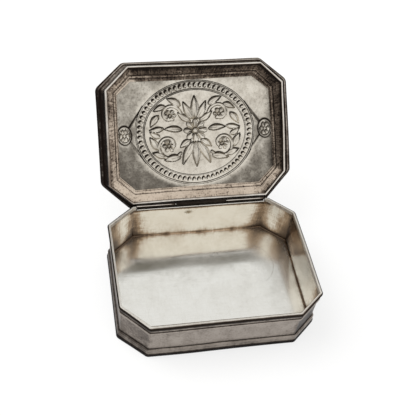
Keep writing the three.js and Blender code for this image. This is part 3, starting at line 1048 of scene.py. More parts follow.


# The outer wall and moulding colours are far darker than the inner wall's: partly tarnish, partly painted
# shade that stands in for the darker surroundings those faces reflect.
FINISHES = (
    SilverFinish(
        Silver.FLOOR,
        (0.76, 0.755, 0.715), (0.68, 0.665, 0.61), (0.285, 0.26, 0.218), (0.10, 0.073, 0.052),
        film=0.08, hollow=0.9, cloud=0.5, pit=0.06, tint_amount=0.5, rough_clean=0.08, scratch_tint=0.4,
        bump=0.008, stain=Stain(0.0205, 0.009, 0.0116),
    ),
    SilverFinish(
        Silver.INNER_WALL,
        (0.95, 0.895, 0.79), (0.84, 0.75, 0.625), (0.42, 0.295, 0.19), (0.115, 0.078, 0.052),
        film=0.04, hollow=0.85, cloud=0.8, streak=0.45, pit=0.06, rough_clean=0.12, rough_dark=0.2,
    ),
    SilverFinish(
        Silver.OUTER_WALL,
        (0.39, 0.345, 0.305), (0.29, 0.25, 0.217), (0.13, 0.107, 0.09), (0.018, 0.014, 0.012),
        film=0.19, hollow=0.8, cloud=0.8, cloud_scale=150.0, streak=0.2, pit=0.13, wear=0.3, rough_clean=0.36,
    ),
    SilverFinish(
        Silver.MOULDING,
        (0.31, 0.27, 0.235), (0.22, 0.187, 0.16), (0.095, 0.077, 0.064), (0.012, 0.009, 0.008),
        film=0.16, hollow=0.8, cloud=0.9, cloud_scale=170.0, streak=0.2, pit=0.1, wear=0.3, rough_clean=0.34,
    ),
    SilverFinish(
        Silver.RIM,
        (0.86, 0.83, 0.77), (0.72, 0.67, 0.59), (0.26, 0.20, 0.155), (0.02, 0.015, 0.012),
        hollow=0.5, cloud=0.5, wear=0.0, rough_clean=0.32,
    ),
    SilverFinish(
        Silver.LID_SIDE,
        (0.50, 0.45, 0.39), (0.30, 0.25, 0.21), (0.085, 0.062, 0.048), (0.016, 0.011, 0.009),
        film=0.1, hollow=0.5, cloud=1.1, streak=0.4, wear=0.25, rough_clean=0.3,
    ),
    SilverFinish(
        Silver.LID_BORDER,
        (0.66, 0.56, 0.455), (0.42, 0.33, 0.25), (0.14, 0.106, 0.08), (0.016, 0.012, 0.010),
        hollow=0.5, cloud=1.0, cloud_scale=120.0, streak=0.6, pit=0.3, wear=0.8, rough_clean=0.3,
    ),
    SilverFinish(
        Silver.LID_PANEL,
        (0.76, 0.715, 0.63), (0.58, 0.518, 0.425), (0.178, 0.159, 0.132), (0.022, 0.016, 0.013),
        hollow=1.0, cloud=0.62, cloud_scale=130.0, pit=0.08, wear=0.0, rough_clean=0.24,
    ),
)


def mesh_of(name: str, surface: Surface, points: Array) -> bpy.types.Mesh:
    """Mesh of a surface, with its marks as attributes of the points.

    Args:
        name: mesh name.
        surface: faces and marks.
        points: (n, 3) millimetres, in their final place.

    Returns:
        The mesh, in metres.
    """
    mesh = bpy.data.meshes.new(name)
    sizes = np.repeat([4, 3], [len(surface.quads), len(surface.triangles)])
    corners = np.concatenate([surface.quads.ravel(), surface.triangles.ravel()])
    starts = np.cumsum(sizes) - sizes
    mesh.vertices.add(len(points))
    mesh.vertices.foreach_set("co", (points * MM).astype(np.float32).ravel())
    mesh.loops.add(len(corners))
    mesh.loops.foreach_set("vertex_index", corners.astype(np.int32))
    mesh.polygons.add(len(sizes))
    mesh.polygons.foreach_set("loop_start", starts.astype(np.int32))
    mesh.update(calc_edges=True)
    for key in MARKS:
        values = surface.marks.get(key, np.zeros(len(points)))
        layer = mesh.attributes.new(key, "FLOAT", "POINT")
        layer.data.foreach_set("value", values.astype(np.float32))
    place = surface.marks.get("band", np.zeros((len(points), 3)))
    layer = mesh.attributes.new("band", "FLOAT_VECTOR", "POINT")
    layer.data.foreach_set("vector", place.astype(np.float32).ravel())
    return mesh


class Workshop:
    """Makes the finishes once and turns surfaces into pieces that ride on the CAD bodies."""

    def __init__(self) -> None:
        """Build the shared groups and every finish."""
        groups = {"tarnish": tarnish_and_shade_group(), "scratches": scratch_group(), "wear": wear_group()}
        self.materials = {finish.state: finish.build(groups) for finish in FINISHES}

    def piece(
        self,
        name: str,
        surface: Surface,
        finishes: tuple[Silver, ...],
        body: Body,
        replaces: tuple[str, ...] = (),
        uneven: bool = True,
        shifted: bool = True,
    ) -> bpy.types.Object:
        """Make a mesh piece in the row frame.

        Args:
            name: piece name.
            surface: points in millimetres; a lid piece is given shut.
            finishes: states of its silver, in the order of the surface's face_finish.
            body: CAD body it rides on.
            replaces: CAD nodes it stands for.
            uneven: whether the slow unevenness of hand work is applied.
            shifted: whether the corner shifts of hand work are applied.

        Returns:
            The object.
        """
        points = wobble(surface.points) if uneven else surface.points
        if body is Body.LID:
            points = HINGE.opened(HAND_WORK.of_lid(points) if shifted else points)
        elif shifted:
            points = HAND_WORK.of_box(points, surface.points)
        mesh = mesh_of(name, surface, points)
        for finish in finishes:
            mesh.materials.append(self.materials[finish])
        if surface.face_finish is not None:
            mesh.polygons.foreach_set("material_index", surface.face_finish.astype(np.int32))
        mesh.shade_smooth()
        mesh.set_sharp_from_angle(angle=SHARP_ANGLE)
        mesh.validate()
        made = bpy.data.objects.new(name, mesh)
        bpy.context.scene.collection.objects.link(made)
        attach(made, body.value)
        if replaces:
            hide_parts(*replaces)
        LOG.info("%s: %d points, %d faces, on %s", name, len(points), len(mesh.polygons), body.value)
        return made

    def hinge_piece(
        self, name: str, surface: Surface, finish: Silver, body: Body, slot: Slot, *replaces: str
    ) -> bpy.types.Object:
        """Make a true piece of the hinge, with none of the unevenness of hand work."""
        return self.piece(name, surface, (finish,), body, replaces, uneven=False, shifted=False)


def corner_marks(surface: Surface, inside_below: float, reach: float | Array, amount: float) -> None:
    """Add hollow marks at the inner corners of a band.

    Args:
        surface: the band; its hollow mark is changed.
        inside_below: offset below which a point looks inwards.
        reach: spread round a corner in millimetres.
        amount: strength of the mark.
    """
    inside = PLAN.offset_of(surface.flat) < inside_below
    added = amount * PLAN.corner_nearness(surface.flat, reach) * inside
    surface.marks["hollow"] = surface.marks["hollow"] + added


def knuckle(centre_x: float, length: float, worn: Span | None = None) -> Surface:
    """Hinge tube with eased ends, dark but for a painted highlight line along a stretch of it.

    The painted highlight lies at a fixed angle about the pin, from +Y towards +Z, and fades out round it
    and at its ends as exp(-d^2).

    Args:
        centre_x: middle of the tube along the hinge.
        length: its length.
        worn: ends of the stretch that has the painted highlight, along the hinge, if there is one.

    Returns:
        The tube.
    """
    # A painted highlight line clears the dark film along part of the tube.
    dark_film, cleared, highlight_angle, highlight_width, highlight_fade = 0.85, 0.75, 2.2, 0.17, 1.5
    half, bore = length / 2, HINGE.pin + HINGE.bore_play
    surface = turned(rounded_section([
        (-half, bore, 0.03), (half, bore, 0.03), (half, HINGE.knuckle, 0.12), (-half, HINGE.knuckle, 0.12),
    ]), centre_x)
    surface.marks["film"] = np.full(len(surface.points), dark_film)
    if worn:
        x, y, z = surface.points.T
        angle = np.arctan2(z - HINGE.z, y - HINGE.y)
        beyond = np.maximum(np.maximum(worn[0] - x, x - worn[1]), 0)
        surface.marks["film"] -= cleared * hump(angle, highlight_angle, highlight_width) * hump(beyond, 0, highlight_fade)
    return surface


def pin() -> Surface:
    """Hinge pin, a thin rod with domed ends."""
    half, centre = HINGE.length / 2, 0.02
    return turned(rounded_section([
        (-half, centre, 0.0), (half, centre, 0.0), (half, HINGE.pin, 0.2), (-half, HINGE.pin, 0.2),
    ]), 0.0, 24)


def stop_strip(front: float, level: float) -> Surface:
    """Strip that carries knuckles, above or below the pin; its back face is the stop of the lid.

    The stop lies at half the opening from the level plane, stop_gap short of it.

    Args:
        front: its front face along Y.
        level: height of its edge nearest to the pin.

    Returns:
        The strip.
    """
    half = math.radians(HINGE.opening / 2)
    c, s = math.cos(half), math.sin(half)
    way = math.copysign(1.0, level - HINGE.z)
    near = (abs(level - HINGE.z) - HINGE.stop_gap * c) / s
    inner, outer = (
        (HINGE.y + d * c - HINGE.stop_gap * s, HINGE.z + way * (d * s + HINGE.stop_gap * c))
        for d in (near, HINGE.stop_reach)
    )
    corners = [
        (front, level, 0.02), (*inner, 0.1), (*outer, 0.15), (front, outer[1] + way * HINGE.stop_foot, 0.02),
    ]
    return bar(rounded_section(corners if way > 0 else corners[::-1]), HINGE.length / 2)


@dataclass
class BasePlate:
    """Base plate with the floor inside, which is not quite flat and has dulled in places."""

    lip: float = 1.25
    flat_margin: float = 0.4
    top_round: float = 0.12
    foot_round: float = 0.3
    floor_offset: float = -1.2
    edge_offset: float = -1.0
    floor_rows: int = 46
    centre_share: float = 0.03
    joint_inset: float = 0.6
    joint: SideValues = (0.42, 0.34, 0.2, 0.3, 0.34, 0.42, 0.42, 0.42)
    joint_width: float = 0.5
    haze: float = 0.14
    haze_length: float = 3.0
    corner_haze: float = 0.22
    corner_reach: float = 5.0
    # Painted shadow on the plate's edge and underside.
    outer_painted_shade: float = 0.9
    # The third patch, at the right back, is a painted reflection of the right side's dark end; the others are
    # dull patches.
    dull_and_reflection_patches: Table = (
        (25.0, 10.0, 7.0, 9.0, 0.07), (-37.0, 19.0, 5.0, 6.0, 0.22), (33.0, 21.0, 6.0, 4.0, 0.1),
    )
    matt_right: float = 0.1
    matt_right_span: Span = (18.0, 32.0)
    matt_back: float = 0.05
    matt_back_span: Span = (5.0, 12.0)
    waviness: float = 0.012
    wave_edge: float = 6.0
    swell: float = 0.1
    swell_front: Span = (-22.0, 9.0)
    swell_back: Span = (9.6, 17.2)
    swell_edge: float = 4.0

    def edge(self) -> Array:
        """Section of the plate's edge from the floor round to the underside.

        Returns:
            (p, 2) points of (offset, height).
        """
        lip, top, foot = self.lip, self.top_round, self.foot_round
        turn = np.linspace(0, math.pi / 2, 5)
        return np.concatenate([
            [(self.edge_offset, FLOOR), (lip - self.flat_margin, FLOOR)],
            np.stack([lip - top + top * np.sin(turn), FLOOR - top + top * np.cos(turn)], axis=1),
            np.stack([lip - foot + foot * np.cos(turn), foot - foot * np.sin(turn)], axis=1),
            [(lip - 2 * foot, 0.0), (self.edge_offset, 0.0)],
        ])

    def marks(self, points: Array) -> dict[str, Array]:
        """Marks of the plate: a dark joint and haze along the wall, dull patches, one of which is a painted
        reflection of the right side's dark end, and a dark outside that is painted shadow.

        Args:
            points: (n, 3) points of the plate.

        Returns:
            Hollow, film and matt marks, (n,) each.
        """
        flat = points[:, :2]
        x, y = flat.T
        inset = -PLAN.offset_of(flat)
        clear = inset - self.joint_inset
        hollow = PLAN.by_side(flat, self.joint) * hump(np.maximum(clear, 0), 0, self.joint_width)
        hollow += self.haze * fall(clear, self.haze_length)
        hollow += self.corner_haze * PLAN.corner_nearness(flat, self.corner_reach)
        patches = sum(
            amount * spot(x, y, (at_x, at_y), (wide, deep))
            for at_x, at_y, wide, deep, amount in self.dull_and_reflection_patches
        )
        outer = (inset < 0) | (points[:, 2] < FLOOR / 2)
        matt = self.matt_right * smooth(x, *self.matt_right_span)
        matt += self.matt_back * smooth(y, *self.matt_back_span)
        film = np.where(outer, self.outer_painted_shade, patches)
        return {"hollow": np.where(outer, 0.0, hollow), "film": film, "matt": matt}

    def lift(self, points: Array) -> Array:
        """Height that the floor departs from flat: slow waves, and a swell towards the hinge.

        The swell rises slowly from the front and falls again over a short run, both as smooth steps.

        Args:
            points: (n, 3) points of the plate.

        Returns:
            (n,) lift, 0 at the wall and underneath.
        """
        flat = points[:, :2]
        inset = -PLAN.offset_of(flat)
        waves = np.sin(flat @ np.array([0.23, 0.11]) + 0.4) + np.sin(flat @ np.array([-0.14, 0.27]) + 2.0)
        swell = smooth(flat[:, 1], *self.swell_front) - smooth(flat[:, 1], *self.swell_back)
        lift = self.waviness * waves * rise(inset, 0, self.wave_edge)
        lift += self.swell * swell * rise(inset, 0, self.swell_edge)
        return lift * (points[:, 2] > FLOOR / 2)

    def build(self) -> Surface:
        """Scaled plans near the middle, offset plans at the edge, and the same again underneath.

        Returns:
            The closed plate; its floor has the first finish and the rest the second.
        """
        share = np.linspace(self.centre_share, 1.0, self.floor_rows)[:, None, None]
        flat = FINE_PLAN.path(np.array([self.floor_offset])) * share
        top = np.concatenate([flat, np.full((*flat.shape[:2], 1), FLOOR)], axis=2)
        edge = self.edge()
        ring = FINE_PLAN.path(edge[:, 0])
        height = np.broadcast_to(edge[:, 1][:, None, None], (*ring.shape[:2], 1))
        rows = np.concatenate([top, np.concatenate([ring, height], axis=2), top[::-1] * [1, 1, 0]])
        count, stations = rows.shape[:2]
        points = np.concatenate([rows.reshape(-1, 3), [[0, 0, FLOOR], [0, 0, 0]]])
        j = np.arange(stations)
        j2 = np.roll(j, -1)
        pole, last = np.full_like(j, count * stations), (count - 1) * stations
        triangles = np.concatenate([
            np.stack([pole, j, j2], axis=1), np.stack([pole + 1, last + j2, last + j], axis=1),
        ])
        quads = grid_quads(count, stations, False, True)[:, ::-1]
        surface = Surface(points, quads, triangles, self.marks(points))
        outside = np.arange(count - 1) > self.floor_rows
        surface.face_finish = np.repeat([*outside.astype(int), 0, 1], stations)
        surface.points[:, 2] += self.lift(points)
        return surface


@dataclass
class WallSheet:
    """Upright wall of one sheet, with a small solder fillet along the floor inside."""

    rows: int = 34
    hollow: float = 0.3
    fillet: float = 0.6
    inside_below: float = -0.1
    # Painted shadow lines on the outer face: above the foot, below and above the bead, and below the collar's
    # lip.
    outer_shadow_lines: Table = (
        (FOOT_TOP + 0.1, 0.16, 0.9), (BEAD_LOW, 0.24, 1.1),
        (BEAD_HIGH + 0.05, 0.2, 0.5), (WALL_TOP, 0.5, 1.3),
    )
    # Painted shade: the outer face darker on some sides than on others.
    outer_painted_shade: SideValues = (0.06, 0.04, 0.03, 0.04, 0.22, 0.25, 0.0, 0.46)
    inner_film: SideValues = (0.07, 0.0, 0.0, 0.0, 0.14, 0.0, 0.0, 0.0)
    soft_seam: SideValues = (0.2, 0.4, 1.0, 0.5, 0.3, 0.0, 0.0, 0.0)
    seam_start: float = 0.2
    seam_length: Span = (0.5, 1.8)
    seam_amount: Span = (0.6, 0.43)
    seam_uneven: Span = (0.12, 0.15)
    fog_length: float = 4.5
    fog_uneven: Span = (0.22, 0.26)
    corner_reach: float = 6.0
    top_lines: Table = ((WALL_TOP, 1.4, 0.12),)
    # Painted shadow along the top of the back side, under the knuckles.
    hinge_shadow_lines: Table = ((WALL_TOP, 0.8, 1.1),)
    hinge_from: float = PLAN.depth / 2 - 2.0
    corner_amount: float = 0.3
    spread: float = 2.8
    spread_low: float = 2.8
    spread_length: float = 7.0
    spread_right_back: float = 2.6
    right_back_x: Span = (20.0, 30.0)
    right_back_y: Span = (24.0, 29.0)
    cant_film: Span = (0.31, 0.21)
    # Painted highlight: an upright band on each back cant where the film is cleared.
    highlight_band_at: Span = (6.5, 5.0)
    highlight_band_wide: Span = (3.0, 2.2)
    highlight_band_clear: float = 0.2
    cant_end: float = 0.08
    cant_end_span: Span = (7.0, 10.0)
    cant_low: float = 0.16
    cant_low_length: float = 6.0
    # Painted reflection: the dark far and near ends of the right side stand in for what that side reflects.
    reflected_far_end: float = 0.425
    reflected_far_end_lean: float = 0.7
    reflected_far_end_span: Span = (10.8, 13.6)
    reflected_near_end: float = 0.34
    reflected_near_end_at: Span = (-20.0, WALL_TOP)
    reflected_near_end_size: Span = (3.0, 6.0)
    back_right: float = 0.31
    back_right_span: Span = (22.5, 29.0)
    back_left: float = 0.25
    back_left_span: Span = (22.0, 31.0)
    dent_from: float = 25.0
    dent_at: Span = (-6.0, 15.8)
    dent_size: Span = (2.1, 1.5)
    dent_depth: float = 0.5
    # Painted shade below the dent.
    dent_shade_at: Span = (-5.6, 14.4)
    dent_shade_size: Span = (1.9, 0.6)
    dent_shade_film: float = 0.16
    unevenness: float = 0.03
    even_below: float = 3.0
    even_above: float = 2.0

    def line(self, z: Array) -> Array:
        """Offset of the outer face: a shallow parabola, hollow in the middle."""
        t = (z - FLOOR) / (WALL_TOP - FLOOR)
        return WALL_OFFSET - self.hollow * 4 * t * (1 - t)

    def section(self) -> Array:
        """Section of the wall: outer face upwards, inner face down to the fillet, and the fillet.

        Returns:
            (p, 2) points of (offset, height), rows of them on the outer face.
        """
        z = np.linspace(FLOOR, WALL_TOP, self.rows)
        line = self.line(z)
        above = z > FLOOR + self.fillet
        centre = (line[0] - SHEET - self.fillet, FLOOR + self.fillet)
        curve = arc(centre, (self.fillet, -self.fillet), 0.0, 1.0, 5)
        return np.concatenate([
            np.stack([line, z], axis=1),
            np.stack([line - SHEET, z], axis=1)[above][::-1],
            np.array(curve)[:, :2],
        ])

    def inner_hollow(self, points: Array) -> Array:
        """Tarnish inside: a seam along the floor, a fog above it, and a dark top edge, which along the hinge
        is painted shadow under the back edge and knuckles.

        The seam is exp(-depth / length) of the height above the floor, longer and weaker where the
        seam is soft, and both seam and fog are uneven by a product of two sines.

        Args:
            points: (n, 3) points of the wall.

        Returns:
            (n,) hollow mark.
        """
        x, y, height = points.T
        flat, depth = points[:, :2], height - FLOOR
        near = PLAN.corner_nearness(flat, self.corner_reach)
        blotch = 0.5 + 0.5 * np.sin(0.55 * x + 0.31 * y + 1.3) * np.sin(0.23 * x - 0.47 * y)
        soft = PLAN.by_side(flat, self.soft_seam)
        length = self.seam_length[0] * (1 - soft) + self.seam_length[1] * soft
        amount = self.seam_amount[0] * (1 - soft) + self.seam_amount[1] * soft
        amount += self.seam_uneven[0] * blotch + self.seam_uneven[1] * near
        seam = fall(depth - self.seam_start, length) * amount
        fog = fall(depth, self.fog_length) * (self.fog_uneven[0] * blotch + self.fog_uneven[1] * near)
        top = lines_at(height, self.top_lines) + lines_at(height, self.hinge_shadow_lines) * (y > self.hinge_from)
        return seam + fog + top

    def corner_spread(self, points: Array) -> Array:
        """How far the dark of a corner spreads: more near the floor and at the right back corner.

        Args:
            points: (n, 3) points of the wall.

        Returns:
            (n,) spread in millimetres.
        """
        x, y, height = points.T
        at_right_back = smooth(x, *self.right_back_x) * smooth(y, *self.right_back_y)
        low = self.spread_low * fall(height - FLOOR, self.spread_length)
        return self.spread + low + self.spread_right_back * at_right_back

    def film_on_cants(self, points: Array) -> Array:
        """Film inside the two back cants, cleared along an upright band as a painted highlight.

        Args:
            points: (n, 3) points of the wall.

        Returns:
            (n,) film: more near the floor, less where exp(-((s - at) / wide) ** 2) of the painted highlight
            is high, s being the distance from the back corner.
        """
        x, y, height = points.T
        length = math.hypot(PLAN.cant_x, PLAN.cant_y)
        along_x, along_y = PLAN.cant_x / length, PLAN.cant_y / length
        s = along_x * (np.abs(x) - PLAN.width / 2 + PLAN.cant_x) + along_y * (PLAN.depth / 2 - y)
        own, at, wide = (
            np.where(x > 0, right, left) for left, right in (self.cant_film, self.highlight_band_at, self.highlight_band_wide)
        )
        film = own + self.cant_end * smooth(s, *self.cant_end_span) - self.highlight_band_clear * hump(s, at, wide)
        film += self.cant_low * fall(height - FLOOR, self.cant_low_length)
        return film * PLAN.on_sides(points[:, :2], Side.RIGHT_BACK, Side.LEFT_BACK)

    def film_inside(self, points: Array) -> Array:
        """Film of the inner face: painted reflection at both ends of the right side, dull ends of the back
        side, the cants, and painted shade at the dent's foot.

        Args:
            points: (n, 3) points of the wall.

        Returns:
            (n,) film.
        """
        x, y, height = points.T
        flat = points[:, :2]
        # Painted reflection on the right side's ends.
        right = self.reflected_far_end * smooth(y + self.reflected_far_end_lean * (height - FLOOR), *self.reflected_far_end_span)
        right += self.reflected_near_end * spot(y, height, self.reflected_near_end_at, self.reflected_near_end_size)
        back = self.back_right * smooth(x, *self.back_right_span)
        back += self.back_left * smooth(-x, *self.back_left_span)
        film = PLAN.by_side(flat, self.inner_film) + self.film_on_cants(points)
        film += right * PLAN.on_sides(flat, Side.RIGHT) + back * PLAN.on_sides(flat, Side.BACK)
        # Painted shade below the dent.
        dent_shade = spot(x, height, self.dent_shade_at, self.dent_shade_size)
        return film + self.dent_shade_film * dent_shade * (y > self.dent_from)

    def push(self, points: Array) -> Array:
        """How far the inner face is pushed in: slow dents, a product of two sines, and one round dent.

        Args:
            points: (n, 3) points of the wall.

        Returns:
            (n,) millimetres inwards, fading out at the floor and at the top.
        """
        x, y, height = points.T
        push = self.unevenness * np.sin(0.33 * x + 0.2 * height) * np.sin(0.41 * y - 0.27 * height + 0.7)
        push += self.dent_depth * spot(x, height, self.dent_at, self.dent_size) * (y > self.dent_from)
        return push * rise(height - FLOOR, 0, self.even_below) * rise(WALL_TOP - height, 0, self.even_above)

    def build(self) -> Surface:
        """Carry the section round the plan, and mark and dent the inner face.

        Returns:
            The closed wall; its inner face has the first finish and its outer face the second.
        """
        section = self.section()
        surface = band(section, FINE_PLAN)
        points = surface.points
        inner = PLAN.offset_of(surface.flat) < self.inside_below
        # The outer face gets painted shadow lines under and over its mouldings.
        lines = lines_at(points[:, 2], self.outer_shadow_lines)
        surface.marks["hollow"] = np.where(inner, self.inner_hollow(points), lines)
        surface.marks["edge"] = np.zeros(len(points))
        corner_marks(surface, self.inside_below, self.corner_spread(points), self.corner_amount)
        # Painted shade on the outer face, more on some sides.
        outside = surface.side_mark(self.outer_painted_shade)
        surface.marks["film"] = np.where(inner, self.film_inside(points), outside)
        outer_rows = np.arange(len(section)) < self.rows - 1
        surface.face_finish = np.repeat(outer_rows.astype(int), len(points) // len(section))
        inwards = -surface.flat / np.linalg.norm(surface.flat, axis=1)[:, None]
        surface.points[:, :2] += inwards * (self.push(points) * inner)[:, None]
        return surface


@dataclass
class BoxBody:
    """Base, wall, mouldings, collar and the fixed half of the hinge."""

    plate: BasePlate = field(default_factory=BasePlate)
    sheet: WallSheet = field(default_factory=WallSheet)
    # The foot is painted darker on some sides; painted shadow lines lie on the foot and the bead, and a
    # painted highlight along the bead's shoulder.
    foot_side_shade: SideValues = (0.1, 0.1, 0.1, 0.1, 0.3, 0.25, 0.02, 0.15)
    foot_shadow_lines: Table = ((3.45, 0.25, 0.25), (FOOT_TOP + 0.1, 0.16, 1.0), (FLOOR, 0.85, 1.2))
    bead_shadow_lines: Table = ((BEAD_LOW, 0.24, 1.1), (BEAD_HIGH, 0.2, 0.5))
    bead_highlight: Table = ((BEAD_HIGH - 0.3, 0.22, 3.0),)
    collar_dull: SideValues = (0.0, 0.0, 0.0, 0.0, 0.0, 0.2, 1.0, 0.8)
    # Painted shade on the collar's rounded lip and inner edge, and painted shadow in its undercut.
    lip_shade: float = 0.95
    lip_span: Span = (0.28, 0.42)
    inner_film: float = 0.4
    inner_span: Span = (0.36, 0.42)
    undercut_shadow: float = 0.9
    undercut_shadow_span: Span = (0.9, 1.1)
    ridge_dull: float = 0.2
    inner_dull: float = 0.4
    inner_dull_span: Span = (0.26, 0.34)
    outer_dull: float = 0.5
    outer_dull_span: Span = (0.05, 0.25)
    edge_faces: Span = (-0.22, 0.24)
    edge_height: float = 0.62
    # Painted shadow along the foot of the back edge.
    edge_shadow: float = 0.9
    edge_shadow_span: Span = (-0.36, -0.26)
    # Stretches of the side knuckles with a painted highlight line.
    highlight_left: Span = (-31.0, -15.0)
    highlight_right: Span = (12.0, 27.0)

    def foot(self) -> Surface:
        """Foot moulding: fillet, cove, bead and a sloped top.

        Returns:
            The moulding, with painted shadow along the ground and along its top, and painted shade that
            differs from side to side.
        """
        inner = WALL_OFFSET - 0.02
        surface = band(rounded_section([
            (inner, FLOOR, 0.0), (1.1, FLOOR, 0.1), (1.1, 1.75, 0.12),
            *arc((1.1, 3.5), (-0.3, -1.7), 1.0, 0.0, 6)[1:-1],
            (0.78, 3.5, 0.05), (0.84, 3.6, 0.08), (0.84, 4.35, 0.15), (0.6, 4.6, 0.1), (inner, FOOT_TOP, 0.0),
        ], 3))
        surface.marks["hollow"] = lines_at(surface.points[:, 2], self.foot_shadow_lines)
        surface.marks["film"] = surface.side_mark(self.foot_side_shade)
        return surface

    def bead(self) -> Surface:
        """Half-round moulding below the rim.

        Returns:
            The moulding, with painted shade in its corners and a painted highlight along its shoulder.
        """
        inner = 0.05
        surface = band(rounded_section([
            (inner, BEAD_LOW, 0.0), (0.3, BEAD_LOW + 0.02, 0.05),
            *arc((0.25, 17.42), (0.36, 0.62), -0.95, 0.95, 12),
            (0.3, BEAD_HIGH - 0.03, 0.05), (inner, BEAD_HIGH, 0.0),
        ], 2))
        height = surface.points[:, 2]
        surface.marks["hollow"] = lines_at(height, self.bead_shadow_lines)
        surface.marks["edge"] = lines_at(height, self.bead_highlight)
        return surface

    def collar(self) -> Surface:
        """Strip along the wall's top: flat bright ridge, rounded lip and an undercut, with painted shade on
        the lip and inner edge and painted shadow in the undercut.

        Returns:
            The strip, open at the hinge, its ridge dulled along the front.
        """
        inner = WALL_OFFSET - SHEET
        section = rounded_section([
            (inner, WALL_TOP, 0.0), (WALL_OFFSET, WALL_TOP, 0.0),
            (0.67, RIM_HEIGHT - 1.1, 0.15), (0.95, RIM_HEIGHT - 0.75, 0.25), (0.88, RIM_HEIGHT - 0.35, 0.25),
            (0.30, RIM_HEIGHT, 0.12), (inner, RIM_HEIGHT, 0.12),
        ])
        ring = PLAN.path_clear_of_hinge(section[:, 0], HINGE.length / 2 + HINGE.gap)
        surface = swept(section, ring, False)
        offset, height = section.T
        # Painted shade on the lip and inner edge, painted shadow in the undercut.
        film = np.maximum.reduce([
            self.lip_shade * rise(offset, *self.lip_span),
            self.inner_film * rise(-offset, *self.inner_span),
            self.undercut_shadow * rise(RIM_HEIGHT - height, *self.undercut_shadow_span) * (offset > 0),
        ])
        dull = self.ridge_dull + self.inner_dull * rise(-offset, *self.inner_dull_span)
        dull += self.outer_dull * rise(offset, *self.outer_dull_span)
        film, dull = (np.repeat(mark, ring.shape[1]) for mark in (film, dull))
        surface.marks["film"] = np.maximum(film, dull * surface.side_mark(self.collar_dull))
        surface.marks["hollow"] = np.zeros(len(surface.points))
        return surface

    def back_edge(self) -> Surface:
        """Bright half-round edge of the back wall, in front of the knuckles, with painted shadow along its
        lower part.

        Returns:
            The edge, as long as the hinge.
        """
        high = WALL_TOP + self.edge_height
        front, back = (PLAN.depth / 2 + WALL_OFFSET - SHEET + face for face in self.edge_faces)
        surface = bar(rounded_section([
            (front, WALL_TOP, 0.0), (back, WALL_TOP, 0.0), (back, high, 0.1), (front, high, 0.4),
        ], 5), HINGE.length / 2)
        # Painted shadow along the foot of the edge.
        surface.marks["film"] = self.edge_shadow * rise(WALL_TOP - surface.points[:, 2], *self.edge_shadow_span)
        return surface

    def build(self, shop: Workshop) -> None:
        """Make every piece of the box below the lid.

        Args:
            shop: makes the pieces.
        """
        box = Body.BOX
        floor, sides = (Silver.FLOOR, Silver.MOULDING), (Silver.INNER_WALL, Silver.OUTER_WALL)
        shop.piece("floor_and_base", self.plate.build(), floor, box, ("base_plate",))
        shop.piece("wall", self.sheet.build(), sides, box, ("body_wall",))
        shop.piece("foot", self.foot(), (Silver.MOULDING,), box, ("foot_moulding",))
        shop.piece("rim_bead", self.bead(), (Silver.OUTER_WALL,), box, ("rim_moulding",))
        shop.piece("collar", self.collar(), (Silver.RIM,), box, ("rim_collar",))
        shop.hinge_piece("back_edge", self.back_edge(), Silver.RIM, box, Slot.POLISHED)
        strip = stop_strip(PLAN.depth / 2 + WALL_OFFSET, WALL_TOP)
        shop.hinge_piece("bearer_strip", strip, Silver.MOULDING, box, Slot.WORN, "body_hinge_bearer")
        length = (HINGE.length - HINGE.centre_length) / 2 - HINGE.gap
        middle = (HINGE.centre_length + length) / 2 + HINGE.gap
        for name, x, worn in (("left", -middle, self.highlight_left), ("right", middle, self.highlight_right)):
            tube, node = knuckle(x, length, worn), f"hinge_knuckle_{name}"
            shop.hinge_piece(f"knuckle_{name}", tube, Silver.RIM, box, Slot.POLISHED, node)
        shop.hinge_piece("pin", pin(), Silver.RIM, box, Slot.POLISHED, "hinge_pin")


@dataclass
class Medallion:
    """Oval with two rings and a row of beads."""

    half_width: float = 28.1
    half_depth: float = 24.1
    ring: float = 0.85
    ring_lift: float = 0.4
    bead_gap: float = 0.15
    bead_row: float = 2.7
    bead_lift: float = 0.75
    bead_half_width: float = 0.46
    bead_half_length: float = 0.43
    beads: int = 65
    dome: float = 0.4

    @property
    def inset(self) -> float:
        """Distance from the outer edge to the inner field."""
        return 2 * self.ring + 2 * self.bead_gap + self.bead_row

    def oval(self, inset: float | Array, angle: Array) -> tuple[Array, Array]:
        """Points of the oval at an inset from the outer edge."""
        return (self.half_width - inset) * np.cos(angle), (self.half_depth - inset) * np.sin(angle)

    def even_angles(self, count: int) -> Array:
        """Angles that divide the bead line into equal lengths.

        Args:
            count: how many.

        Returns:
            (count,) radians.
        """
        fine = np.linspace(0, TURN, 4001)
        x, y = self.oval(self.inset / 2, fine)
        length = np.concatenate([[0], np.cumsum(np.hypot(np.diff(x), np.diff(y)))])
        return np.interp(np.linspace(0, length[-1], count, endpoint=False), length, fine)

    def border_lift(self, inset: Array, beat: Array) -> Array:
        """Relief of the ring border: two rounded rings with round bosses between them.

        A ring is 1 - s^2 across its half width, and a boss 1 - s^2 - t^2 across and along the row.

        Args:
            inset: distance from the outer edge.
            beat: place along the bead row, one per bead.

        Returns:
            Lift at each point.
        """
        half = self.ring / 2
        outer, inner = (unit(1 - ((inset - at) / half) ** 2) for at in (half, self.inset - half))
        across = (inset - self.inset / 2) / (self.bead_row * self.bead_half_width)
        along = (beat - np.round(beat)) / self.bead_half_length
        return self.ring_lift * np.maximum(outer, inner) + self.bead_lift * unit(1 - across**2 - along**2)


